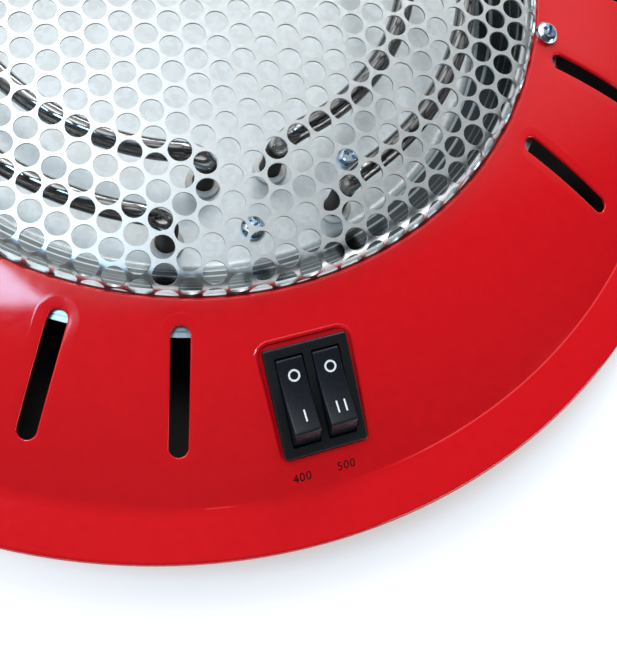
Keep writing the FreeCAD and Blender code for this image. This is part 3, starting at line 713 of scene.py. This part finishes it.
def grille_profile():
    """Points (r, z) of the pressed sheet's upper face, from the middle to the flange's end."""
    join_r = GRILLE_R - DOME_EDGE
    slope = math.asin(join_r / DOME_R)
    join_z = APEX_Z - DOME_R * (1 - math.cos(slope))
    edge_z = join_z - DOME_EDGE * math.tan(slope)
    radius = DOME_EDGE / math.cos(slope) / math.tan(math.pi / 4 - slope / 2)
    tilts = [slope * i / DOME_STEPS for i in range(DOME_STEPS)]
    dome = [(DOME_R * math.sin(tilt), APEX_Z - DOME_R * (1 - math.cos(tilt))) for tilt in tilts]
    return dome + bent([
        (join_r, join_z),
        (GRILLE_R, edge_z, radius, DOME_EDGE_STEPS),
        (GRILLE_R, land_z(GRILLE_R, FLANGE_DROP), FLANGE_ROLL, FLANGE_STEPS),
        (FLANGE_R, land_z(FLANGE_R, FLANGE_DROP))])


def pressed(profile):
    """A function that carries a radius on the flat blank to the pressed profile, and the blank's radius."""
    lengths = [0.0]
    for a, b in zip(profile, profile[1:]):
        lengths.append(lengths[-1] + math.dist(a, b))

    def place(length):
        for start, end, a, b in zip(lengths, lengths[1:], profile, profile[1:]):
            if length <= end:
                share = (length - start) / (end - start)
                return a[0] + (b[0] - a[0]) * share, a[1] + (b[1] - a[1]) * share
        return profile[-1]
    return place, lengths[-1]


def hole_cell():
    """One six-sided cell of the flat blank with its round hole, at the middle."""
    outer = circle(CELL_SIDES, HOLE_PITCH / math.sqrt(3))
    edit(outer)
    bpy.ops.mesh.subdivide(number_cuts=HOLE_SIDES // CELL_SIDES - 1)
    leave()
    inner = circle(HOLE_SIDES, HOLE_DIAMETER / 2)
    cell = joined([outer, inner])
    edit(cell)
    bpy.ops.mesh.bridge_edge_loops()
    leave()
    cell.data.transform(Matrix.Rotation(math.radians(HOLE_ROW_AZIMUTH), 4, "Z"))
    return cell


def trim_blank(sheet, limit):
    """Cut the blank to a disc, so that holes are cut through at its edge."""
    deselect()
    bpy.ops.mesh.primitive_cylinder_add(vertices=GRILLE_STEPS, radius=limit * MM, depth=BLANK_CUT * MM)
    disc = bpy.context.object
    thicken(sheet, BLANK_SHEET, 0)
    boolean(sheet, disc, "INTERSECT")
    select_none(sheet, "FACE")
    for face in sheet.data.polygons:
        face.select = face.normal.z < BLANK_TOP_NORMAL
    bpy.ops.object.mode_set(mode="EDIT")
    bpy.ops.mesh.delete(type="FACE")
    leave()
    for vertex in sheet.data.vertices:
        vertex.co.z = 0


def make_grille(material):
    """Perforated blank, pressed into its dome, with a plain flange below the ring's opening."""
    profile = grille_profile()
    flange_start = len(profile) - FLANGE_STEPS - 2
    place, blank_r = pressed(profile)
    _, hole_limit = pressed(profile[:flange_start + 1])
    row = math.radians(HOLE_ROW_AZIMUTH)
    step = Vector((math.cos(row), math.sin(row), 0)) * HOLE_PITCH
    slant = Matrix.Rotation(math.radians(60), 3, "Z") @ step
    rows = int(blank_r / HOLE_PITCH * ROW_MARGIN) + 1
    cell = hole_cell()
    cells = []
    for i in range(-rows, rows + 1):
        for j in range(-rows, rows + 1):
            spot = step * i + slant * j + Vector((*HOLE_OFFSET, 0))
            if spot.length < hole_limit + HOLE_PITCH / 2:
                cells.append(copied(cell))
                cells[-1].data.transform(Matrix.Translation(spot * MM))
    bpy.data.objects.remove(cell)
    sheet = joined(cells)
    tidy_mesh(sheet, COARSE_WELD)
    trim_blank(sheet, hole_limit)
    for vertex in sheet.data.vertices:
        length = math.hypot(vertex.co.x, vertex.co.y) / MM
        if length > TINY:
            r, z = place(length)
            vertex.co = (vertex.co.x * r / length, vertex.co.y * r / length, z * MM)
        else:
            vertex.co.z = profile[0][1] * MM
    tidy_mesh(sheet)
    thicken(sheet, GRILLE_SHEET)
    bevelled(sheet, HOLE_EASE, 1, EASED_ANGLE)
    flange = spun("grille_flange", profile[flange_start:], GRILLE_STEPS)
    thicken(flange, GRILLE_SHEET)
    sheet = joined([sheet, flange])
    smooth(sheet, SHARP_SHEET)
    hand_over(sheet, "perforated_grille", "grille_steel", material, "grille")


# Heating elements

def make_element(name, node, loop_r, spread, material):
    """Round tube: a ring section spun into the loop, then bent down and drawn out into the legs."""
    reach = math.hypot(loop_r, LEG_BEND)
    end = math.degrees(math.asin(spread / 2 / reach) + math.atan2(LEG_BEND, loop_r))
    halves = []
    for sign in (1, -1):
        tube = circle(TUBE_SIDES, TUBE_R)
        tube.data.transform(Matrix.Rotation(math.radians(90), 4, "X"))
        shift(tube, loop_r, 0, TUBE_Z)
        tube.data.transform(Matrix.Rotation(math.radians(90), 4, "Z"))
        edit(tube)
        sweep = math.radians(180 - end) * sign
        bpy.ops.mesh.spin(steps=LOOP_STEPS, angle=-sweep, center=(0, 0, 0), axis=(0, 0, 1))
        azimuth = math.radians(90) + sweep
        outward = Vector((math.cos(azimuth), math.sin(azimuth), 0))
        hub = outward * loop_r * MM + Vector((0, 0, (TUBE_Z - LEG_BEND) * MM))
        bpy.ops.mesh.spin(steps=LEG_STEPS, angle=-math.radians(90) * sign, center=hub, axis=-outward)
        bpy.ops.mesh.extrude_region_move(
            TRANSFORM_OT_translate={"value": (0, 0, (LEG_END_Z - TUBE_Z + LEG_BEND) * MM)})
        bpy.ops.mesh.edge_face_add()
        leave()
        halves.append(tube)
    tube = joined(halves)
    tidy_mesh(tube, COARSE_WELD)
    smooth(tube, SHARP_SHEET)
    hand_over(tube, name, "element_sheath", material, node)


def make_bushes(material):
    """Round flanged bushes that seat the four legs in the bowl's floor."""
    bush = spun("bush", bent([
        (BUSH_BORE_R, BUSH_LOW_Z),
        (BUSH_R, BUSH_LOW_Z, *BUSH_EASE),
        (BUSH_R, BUSH_SEAT_Z),
        (BUSH_FLANGE_R, BUSH_SEAT_Z),
        (BUSH_FLANGE_R, BUSH_TOP_Z, *BUSH_FLANGE_EASE),
        (BUSH_BORE_R, BUSH_TOP_Z, *BUSH_EASE),
        (BUSH_BORE_R, BUSH_LOW_Z)]), BUSH_STEPS)
    copies = []
    for loop_r, spread in LOOPS.values():
        reach = math.hypot(loop_r, LEG_BEND)
        for x in (-spread / 2, spread / 2):
            copies.append(copied(bush))
            shift(copies[-1], x, -math.sqrt(reach ** 2 - x ** 2))
    bpy.data.objects.remove(bush)
    bushes = joined(copies)
    smooth(bushes, SHARP_SHEET)
    hand_over(bushes, "leg_bushes", "ceramic", material, "end_bushes")


# Reflector bowl

def make_reflector(material):
    """Round bowl of sheet, with a flange below the ring's land."""
    bowl = spun("reflector_bowl", bent([
        (0, BOWL_FLOOR_Z),
        (BOWL_FLOOR_R, BOWL_FLOOR_Z, *BOWL_FLOOR_ROLL),
        (BOWL_MOUTH_R, land_z(BOWL_MOUTH_R, REFLECTOR_DROP), *BOWL_MOUTH_ROLL),
        (REFLECTOR_R, land_z(REFLECTOR_R, REFLECTOR_DROP))]), BOWL_STEPS)
    thicken(bowl, BOWL_SHEET)
    smooth(bowl, SHARP_SHEET)
    hand_over(bowl, "reflector_bowl", "galvanised", material, "reflector")


# Screws

def make_screw():
    """Pan-head screw with a cross recess, along Z with its seat at zero."""
    head = spun("screw", bent([(0, 0), (HEAD_R, 0), HEAD_EDGE, HEAD_CROWN, (0, HEAD_TOP_Z)]), HEAD_STEPS)
    for size in ((RECESS_WIDTH, RECESS_LENGTH), (RECESS_LENGTH, RECESS_WIDTH)):
        boolean(head, rounded_slab(*size, RECESS_LOW_Z, RECESS_HIGH_Z, RECESS_CORNER, RECESS_FLARE))
    deselect()
    bpy.ops.mesh.primitive_cylinder_add(vertices=SMALL_ROUND_SIDES, radius=SHANK_R * MM,
                                        depth=SHANK_LENGTH * MM, location=(0, 0, -SHANK_LENGTH / 2 * MM))
    shank = bpy.context.object
    apply_place(shank)
    screw = joined([head, shank])
    smooth(screw, SHARP_SMALL)
    return screw


def make_screws(name, node, places, material):
    """Copies of one screw at (radius, azimuth, seat, lean, turn) places, as one piece."""
    first = make_screw()
    copies = []
    for radius, azimuth, seat, lean, turn in places:
        copies.append(copied(first))
        copies[-1].data.transform(
            Matrix.Rotation(math.radians(azimuth), 4, "Z") @ Matrix.Translation((radius * MM, 0, seat * MM))
            @ Matrix.Rotation(math.radians(lean), 4, "Y") @ Matrix.Rotation(math.radians(turn), 4, "Z"))
    bpy.data.objects.remove(first)
    hand_over(joined(copies), name, "zinc_screw", material, node)


# Switch

def make_switch_housing(material):
    """Bezel and body of the switch, with a window for each rocker."""
    plate = rounded_slab(*BEZEL, BEZEL_LOW_Z, BEZEL_TOP_Z, BEZEL_CORNER)
    bevelled(plate, BEZEL_EASE, 4, EASED_ANGLE)
    body = rounded_slab(*HOUSING, -HOUSING_DEPTH, HOUSING_TOP_Z, HOUSING_CORNER)
    boolean(plate, body, "UNION")
    for x in ROCKER_X.values():
        room = rounded_slab(*ROCKER_WINDOW, ROCKER_WINDOW_FLOOR - HOUSING_DEPTH, ROCKER_WINDOW_TOP_Z,
                            ROCKER_WINDOW_CORNER)
        shift(room, x)
        boolean(plate, room)
    on_switch(plate)
    smooth(plate, SHARP_SMALL)
    hand_over(plate, "switch_case", "switch_black", material, "switch_housing")


rocker_tip = math.sqrt(ROCKER_REACH ** 2 - (ROCKER_RISE - PIVOT_Z) ** 2)
dish_r = (rocker_tip ** 2 + ROCKER_DISH ** 2) / (2 * ROCKER_DISH)


def dish_z(y):
    """Height of a level rocker's hollowed top, which rises a little more towards its nose."""
    lean = ROCKER_LEAN * (rocker_tip - y) / (rocker_tip + ROCKER_NOSE)
    return ROCKER_RISE - ROCKER_DISH + dish_r - math.sqrt(dish_r ** 2 - y ** 2) + lean


def at_rest(obj, x):
    """Tip a rocker or its mark to off and set it in the switch."""
    pivot = Vector((0, 0, PIVOT_Z * MM))
    obj.data.transform(
        Matrix.Translation(Vector((x * MM, 0, 0)) + pivot)
        @ Matrix.Rotation(math.radians(-ROCKER_SWING / 2), 4, "X") @ Matrix.Translation(-pivot))
    on_switch(obj)


def rocker_points():
    """Side view of a level rocker cap: its top, its nose and its other end, both round about the pivot."""
    length = rocker_tip + ROCKER_NOSE
    along = [rocker_tip - length * i / ROCKER_TOP_STEPS for i in range(ROCKER_TOP_STEPS + 1)]
    high = math.atan2(ROCKER_RISE - PIVOT_Z, rocker_tip)
    low = -math.asin(ROCKER_SKIRT / ROCKER_REACH)
    turns = [high + (low - high) * i / ROCKER_END_STEPS for i in range(ROCKER_END_STEPS + 1)]
    end = [(ROCKER_REACH * math.cos(turn), PIVOT_Z + ROCKER_REACH * math.sin(turn)) for turn in turns]
    nose = [(-y, z) for y, z in end if z < ROCKER_NOSE_Z]
    return [(y, dish_z(y)) for y in along] + nose + end[::-1]


def make_rocker(side, x, material):
    """Rocker cap drawn as its side view, pulled to its width, edges eased, with axle and stem."""
    cap = drawn_line("rocker", rocker_points())
    edit(cap)
    bpy.ops.mesh.remove_doubles(threshold=WELD * MM)
    bpy.ops.mesh.edge_face_add()
    bpy.ops.mesh.extrude_region_move(TRANSFORM_OT_translate={"value": (0, ROCKER_WIDTH * MM, 0)})
    leave()
    cap.data.transform(Matrix.Rotation(math.radians(90), 4, "Z")
                       @ Matrix.Translation((0, -ROCKER_WIDTH / 2 * MM, 0)))
    tidy_mesh(cap)
    bevelled(cap, ROCKER_EASE)
    deselect()
    bpy.ops.mesh.primitive_cylinder_add(
        vertices=SMALL_ROUND_SIDES, radius=AXLE_R * MM, depth=AXLE_LENGTH * MM,
        rotation=(0, math.radians(90), 0), location=(0, 0, PIVOT_Z * MM))
    axle = bpy.context.object
    apply_place(axle)
    stem = rounded_slab(STEM_WIDTH, STEM_WIDTH, STEM_LOW_Z, STEM_HIGH_Z, STEM_CORNER)
    rocker = joined([cap, axle, stem])
    smooth(rocker, SHARP_SMALL)
    at_rest(rocker, x)
    node = "rocker_" + side
    hand_over(rocker, "rocker_cap_" + side, "switch_black", material, node, body=node)


def round_mark():
    """Flat ring of the off mark."""
    mark = joined([circle(CIRCLE_SIDES, radius) for radius in OFF_RADII])
    edit(mark)
    bpy.ops.mesh.bridge_edge_loops()
    leave()
    return mark


def bar_mark(x):
    """One flat stroke of the on marks."""
    deselect()
    bpy.ops.mesh.primitive_grid_add(x_subdivisions=STROKE_CUTS[0], y_subdivisions=STROKE_CUTS[1], size=MM)
    bar = bpy.context.object
    bar.scale = (*STROKE_SIZE, 1)
    bar.location = (x * MM, 0, 0)
    apply_place(bar)
    return bar


def make_marks(side, x, strokes, material):
    """White off ring and on strokes, printed on the hollow of a rocker."""
    off = round_mark()
    shift(off, *OFF_PLACE)
    on = [bar_mark(stroke) for stroke in strokes]
    for bar in on:
        shift(bar, *STROKES_PLACE)
    marks = joined([off] + on)
    for vertex in marks.data.vertices:
        vertex.co.z = (dish_z(vertex.co.y / MM) + MARK_LIFT) * MM
    tidy_mesh(marks)
    thicken(marks, PRINT_SHEET)
    at_rest(marks, x)
    hand_over(marks, "rocker_marks_" + side, None, material, body="rocker_" + side)


def make_numbers(material):
    """Printed power numbers on the ring below the switch."""
    prints = []
    for text, x in NUMBERS:
        deselect()
        bpy.ops.object.text_add()
        words = bpy.context.object
        words.data.body = text
        words.data.size = NUMBER_SIZE * MM
        words.data.space_character = NUMBER_SPACING
        words.data.align_x = "CENTER"
        words.data.align_y = "CENTER"
        bpy.ops.object.convert(target="MESH")
        shift(words, x, NUMBERS_Y, PAD_DEPTH)
        on_switch(words)
        prints.append(words)
    numbers = joined(prints)
    for vertex in numbers.data.vertices:
        vertex.co.z = (ring_z(math.hypot(vertex.co.x, vertex.co.y) / MM) + NUMBER_LIFT) * MM
    tidy_mesh(numbers)
    thicken(numbers, PRINT_SHEET)
    hand_over(numbers, "power_numbers", None, material)


# Materials

def principled(name, color, metallic=0.0, roughness=0.5, specular=0.5):
    material = bpy.data.materials.new(name)
    material.use_nodes = True
    shader = material.node_tree.nodes["Principled BSDF"]
    shader.inputs["Base Color"].default_value = (*color, 1)
    shader.inputs["Metallic"].default_value = metallic
    shader.inputs["Roughness"].default_value = roughness
    shader.inputs["Specular IOR Level"].default_value = specular
    return material


def axes(tree, space):
    """The x, y and z of a texture coordinate."""
    split = tree.nodes.new("ShaderNodeSeparateXYZ")
    tree.links.new(tree.nodes.new("ShaderNodeTexCoord").outputs[space], split.inputs[0])
    return split.outputs


def math_node(tree, operation, *values):
    node = tree.nodes.new("ShaderNodeMath")
    node.operation = operation
    for socket, value in zip(node.inputs, values):
        if isinstance(value, (int, float)):
            socket.default_value = value
        else:
            tree.links.new(value, socket)
    return node.outputs[0]


def map_range(tree, value, low, high, out_low, out_high):
    node = tree.nodes.new("ShaderNodeMapRange")
    node.interpolation_type = "SMOOTHSTEP"
    tree.links.new(value, node.inputs["Value"])
    for name, number in zip(("From Min", "From Max", "To Min", "To Max"), (low, high, out_low, out_high)):
        node.inputs[name].default_value = number
    return node.outputs["Result"]


def pattern_group(name, texture, output, **settings):
    """Shared pattern on object coordinates: a scale goes in, a value between 0 and 1 comes out."""
    group = bpy.data.node_groups.new(name, "ShaderNodeTree")
    group.interface.new_socket("Scale", in_out="INPUT", socket_type="NodeSocketFloat")
    group.interface.new_socket("Value", in_out="OUTPUT", socket_type="NodeSocketFloat")
    ends = group.nodes.new("NodeGroupInput"), group.nodes.new("NodeGroupOutput")
    pattern = group.nodes.new(texture)
    for setting, value in settings.items():
        pattern.inputs[setting].default_value = value
    group.links.new(group.nodes.new("ShaderNodeTexCoord").outputs["Object"], pattern.inputs["Vector"])
    group.links.new(ends[0].outputs["Scale"], pattern.inputs["Scale"])
    group.links.new(pattern.outputs[output], ends[1].inputs["Value"])


def make_patterns():
    """Cloudy mottle of paint, plastic and rolled sheet, and the crystal flakes of zinc."""
    pattern_group("mottle", "ShaderNodeTexNoise", "Fac", Detail=3.0, Roughness=0.55)
    pattern_group("spangle", "ShaderNodeTexVoronoi", "Color", Randomness=1.0)


def pattern_value(tree, pattern, scale):
    node = tree.nodes.new("ShaderNodeGroup")
    node.node_tree = bpy.data.node_groups[pattern]
    node.inputs["Scale"].default_value = scale
    return node.outputs["Value"]


def toned(tree, value, tones):
    """Colour that runs through two or more tones with a value."""
    ramp = tree.nodes.new("ShaderNodeValToRGB")
    elements = ramp.color_ramp.elements
    for i, (position, color) in enumerate(tones):
        element = elements[i] if i < len(elements) else elements.new(position)
        element.position = position
        element.color = (*color, 1)
    tree.links.new(value, ramp.inputs["Fac"])
    return ramp.outputs["Color"]


def relief(tree, value, height):
    """Bumpy normal, its height in millimetres."""
    bump = tree.nodes.new("ShaderNodeBump")
    bump.inputs["Distance"].default_value = height * MM
    tree.links.new(value, bump.inputs["Height"])
    return bump.outputs["Normal"]


def finish(name, color, roughness, metallic=0.0, pattern="mottle", scale=400, shade=0.06, spread=0.05,
           height=0.004, specular=0.5):
    """Material whose tone, gloss and relief follow one shared pattern."""
    material = principled(name, color, metallic, roughness, specular)
    tree = material.node_tree
    shader = tree.nodes["Principled BSDF"]
    value = pattern_value(tree, pattern, scale)
    dark = [channel * (1 - shade) for channel in color]
    light = [min(1, channel * (1 + shade)) for channel in color]
    tone = toned(tree, value, ((PATTERN_LOW, dark), (PATTERN_HIGH, light)))
    gloss = map_range(tree, value, PATTERN_LOW, PATTERN_HIGH, roughness - spread, roughness + spread)
    tree.links.new(tone, shader.inputs["Base Color"])
    tree.links.new(gloss, shader.inputs["Roughness"])
    tree.links.new(relief(tree, value, height), shader.inputs["Normal"])
    return material


def sheath_finish():
    """Polished tube, brown and dull low down on its legs, with a painted reflection along its loops: light
    underside, dark top.
    """
    material = principled("sheath_with_painted_reflection", (0.36, 0.34, 0.33), metallic=1.0, roughness=0.2)
    tree = material.node_tree
    shader = tree.nodes["Principled BSDF"]
    z = axes(tree, "Object")["Z"]
    edge = pattern_value(tree, "mottle", SHEATH_RAGGED_SCALE)
    ragged = math_node(tree, "MULTIPLY_ADD", edge, SHEATH_RAGGED * MM, z)
    up_share = map_range(tree, ragged, SHEATH_TONE_LOW_Z * MM, SHEATH_TONE_HIGH_Z * MM, 0, 1)
    # Painted reflection: tones by height make the tube light along its underside and dark along its top; low
    # down on the legs it goes brown.
    tree.links.new(toned(tree, up_share, SHEATH_TONES_AND_PAINTED_REFLECTION), shader.inputs["Base Color"])
    tree.links.new(map_range(tree, up_share, *SHEATH_DULL), shader.inputs["Roughness"])
    grain = pattern_value(tree, "mottle", SHEATH_GRAIN_SCALE)
    tree.links.new(relief(tree, grain, SHEATH_GRAIN), shader.inputs["Normal"])
    return material


def bowl_finish():
    """Zinc sheet: dull flakes on the bowl's floor; along its wall burnished streaks, painted mostly dark as a
    painted reflection.
    """
    material = finish("galvanised_bowl", (0.62, 0.665, 0.68), BOWL_ROUGHNESS, 1.0, pattern="spangle",
                      scale=520, shade=0.05)
    tree = material.node_tree
    shader = tree.nodes["Principled BSDF"]
    x, y, z = axes(tree, "Object")
    radius = math_node(tree, "SQRT", math_node(tree, "MULTIPLY_ADD", x, x, math_node(tree, "MULTIPLY", y, y)))
    inside = map_range(tree, radius, (BOWL_MOUTH_R - WALL_MOUTH_FADE) * MM,
                       (BOWL_MOUTH_R + WALL_MOUTH_FADE) * MM, 1, 0)
    above = map_range(tree, z, WALL_LOW_Z * MM, WALL_HIGH_Z * MM, 0, 1)
    wall = math_node(tree, "MULTIPLY", inside, above)
    streaks = tree.nodes.new("ShaderNodeTexNoise")
    streaks.noise_dimensions = "1D"
    streaks.inputs["Scale"].default_value = STREAK_SCALE
    tree.links.new(z, streaks.inputs["W"])
    mix = tree.nodes.new("ShaderNodeMix")
    mix.data_type = "RGBA"
    tree.links.new(wall, mix.inputs["Factor"])
    tree.links.new(shader.inputs["Base Color"].links[0].from_socket, mix.inputs["A"])
    # Painted reflection: the wall's streak tones are mostly dark.
    tree.links.new(toned(tree, streaks.outputs["Fac"], STREAK_AND_PAINTED_REFLECTION_TONES), mix.inputs["B"])
    tree.links.new(mix.outputs["Result"], shader.inputs["Base Color"])
    tree.links.new(map_range(tree, wall, 0, 1, BOWL_ROUGHNESS, WALL_ROUGHNESS), shader.inputs["Roughness"])
    return material


def make_finishes():
    """Every finish by the name of its material slot, with a few for prints and switch parts."""
    make_patterns()
    return {
        "red_enamel": finish("red_enamel", (0.73, 0.008, 0.013), 0.10, scale=260, shade=0.03, spread=0.02,
                             height=0.006),
        "grille_steel": finish("bright_steel", (0.55, 0.585, 0.595), 0.34, 1.0, scale=700, shade=0.03,
                               spread=0.06),
        "galvanised": finish("galvanised", (0.66, 0.69, 0.70), 0.17, 1.0, pattern="spangle", scale=520,
                             shade=0.07, spread=0.06, height=0.005),
        "bowl": bowl_finish(),
        "element_sheath": sheath_finish(),
        "nickel": finish("nickel", (0.62, 0.60, 0.56), 0.3, 1.0),
        "ceramic": finish("ceramic", (0.82, 0.81, 0.78), 0.45, scale=900),
        "zinc_screw": finish("zinc_screw", (0.50, 0.60, 0.70), 0.22, 1.0, scale=900),
        "brass": finish("brass", (0.72, 0.55, 0.25), 0.3, 1.0),
        "pan_black": finish("pan_black", (0.022, 0.022, 0.024), 0.42, scale=1200, height=0.02),
        "rubber_black": finish("rubber_black", (0.022, 0.022, 0.022), 0.72, scale=1500, spread=0.08,
                               height=0.03),
        "switch_black": finish("switch_black", (0.009, 0.011, 0.012), 0.34, scale=2400, shade=0.1,
                               specular=0.35),
        "rocker_black": finish("rocker_black", (0.010, 0.012, 0.016), 0.30, scale=2400, shade=0.1,
                               specular=0.3),
        "nylon": finish("nylon", (0.75, 0.75, 0.72), 0.45, scale=900),
        "lead_live": finish("lead_live", (0.17, 0.06, 0.03), 0.5, scale=900),
        "lead_neutral": finish("lead_neutral", (0.03, 0.10, 0.35), 0.5, scale=900),
        "lead_earth": finish("lead_earth", (0.20, 0.42, 0.05), 0.5, scale=900),
        "mark_white": finish("mark_white", (0.85, 0.86, 0.88), 0.5, scale=2000),
        "print_black": finish("print_black", (0.012, 0.003, 0.003), 0.6, scale=2000, specular=0.1),
    }


# Floor, light and camera

def make_floor():
    """White ground that glows a little where the camera sees it, itself or mirrored in metal."""
    deselect()
    bpy.ops.mesh.primitive_plane_add(size=GROUND_SIZE * MM, location=(0, 0, -GROUND_DROP * MM))
    floor = bpy.context.object
    floor.name = "studio_floor"
    material = principled("studio_floor", [GROUND_GREY] * 3, roughness=0.95)
    tree = material.node_tree
    shader = tree.nodes["Principled BSDF"]
    shader.inputs["Emission Color"].default_value = (1, 1, 1, 1)
    path = tree.nodes.new("ShaderNodeLightPath").outputs
    seen = math_node(tree, "MAXIMUM", path["Is Camera Ray"], path["Is Glossy Ray"])
    tree.links.new(math_node(tree, "MULTIPLY", seen, GROUND_GLOW), shader.inputs["Emission Strength"])
    floor.data.materials.append(material)


def make_world():
    """Soft room: bright behind the heater, dim on the camera's side, white where the camera sees it."""
    world = bpy.data.worlds.new("studio")
    bpy.context.scene.world = world
    world.use_nodes = True
    tree = world.node_tree
    x, y, z = axes(tree, "Generated")
    back = map_range(tree, y, *ROOM_BACK)
    right = map_range(tree, x, *ROOM_RIGHT)
    high = map_range(tree, z, *ROOM_HIGH)
    room = math_node(tree, "MULTIPLY", math_node(tree, "MULTIPLY", back, right), high)
    seen = tree.nodes.new("ShaderNodeLightPath").outputs["Is Camera Ray"]
    hidden = math_node(tree, "SUBTRACT", 1, seen)
    strength = math_node(tree, "ADD", seen, math_node(tree, "MULTIPLY", hidden, room))
    tree.links.new(strength, tree.nodes["Background"].inputs["Strength"])
    tree.nodes["Background"].inputs["Color"].default_value = (1, 1, 1, 1)


def make_lamps():
    """Area lamps that face the origin; their distances and sizes are in metres, their powers in watts."""
    white, cool = (1, 1, 1), (0.42, 0.72, 1)
    for name, azimuth, height, distance, width, depth, power, color in (
            ("window_back", 50, 38, 1.5, 0.45, 0.12, 2.4, white),
            ("window_left", 180, 70, 1.6, 0.34, 0.36, 7.0, cool),
            ("window_high", 104, 66, 1.6, 0.26, 0.45, 1.5, white),
            ("key_right", 60, 28, 1.6, 0.5, 0.4, 8.0, white),
            ("fill_right", -52, 11, 2.0, 1.4, 0.6, 10.0, white),
            ("fill_left", -155, 16, 2.0, 1.2, 0.5, 1.6, white)):
        lamp = bpy.data.lights.new(name, "AREA")
        lamp.energy = power
        lamp.color = color
        lamp.shape = "RECTANGLE"
        lamp.size = width
        lamp.size_y = depth
        light = bpy.data.objects.new(name, lamp)
        bpy.context.collection.objects.link(light)
        light.rotation_euler = (math.radians(90 - height), 0, math.radians(azimuth + 90))
        light.location = light.rotation_euler.to_matrix() @ Vector((0, 0, distance))


def make_camera():
    """Camera of the photograph: above the switch, looking steeply down and rolled."""
    camera = bpy.data.cameras.new("camera")
    camera.lens = LENS
    camera.sensor_width = SENSOR
    camera.clip_start = CLIP_START * MM
    obj = bpy.data.objects.new("camera", camera)
    bpy.context.collection.objects.link(obj)
    eye, aim = Vector(EYE) * MM, Vector(AIM) * MM
    turn = (aim - eye).to_track_quat("-Z", "Y") @ Quaternion((0, 0, 1), math.radians(CAMERA_ROLL))
    obj.location = eye
    obj.rotation_euler = turn.to_euler()
    bpy.context.scene.camera = obj


def main():
    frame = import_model()
    deselect()
    finishes = make_finishes()
    for row in frame["record"]["subparts"]:
        slots = frame["nodes"][row["node"]].data.materials
        slots.clear()
        slots.append(finishes[row["material_slot"]])
    make_cover_ring(finishes["red_enamel"])
    make_grille(finishes["grille_steel"])
    for side, (loop_r, spread) in LOOPS.items():
        make_element(side + "_tube", side + "_element", loop_r, spread, finishes["element_sheath"])
    make_bushes(finishes["ceramic"])
    make_reflector(finishes["bowl"])
    seat = land_z(COVER_SCREW_R, -SCREW_LIFT)
    cover_places = [(COVER_SCREW_R, a, seat, LAND_SLOPE, COVER_SCREW_TURN + a) for a in COVER_SCREW_AZIMUTHS]
    floor_places = [(r, a, BOWL_FLOOR_Z + SCREW_LIFT, 0, FLOOR_SCREW_TURN) for r, a in FLOOR_SCREWS]
    make_screws("cover_screw_heads", "cover_screws", cover_places, finishes["zinc_screw"])
    make_screws("floor_screw_heads", "floor_screws", floor_places, finishes["zinc_screw"])
    make_switch_housing(finishes["switch_black"])
    for side, strokes in STROKES.items():
        make_rocker(side, ROCKER_X[side], finishes["rocker_black"])
        make_marks(side, ROCKER_X[side], strokes, finishes["mark_white"])
    make_numbers(finishes["print_black"])
    make_floor()
    make_world()
    make_lamps()
    make_camera()
    bpy.context.scene.view_settings.view_transform = "Standard"


main()
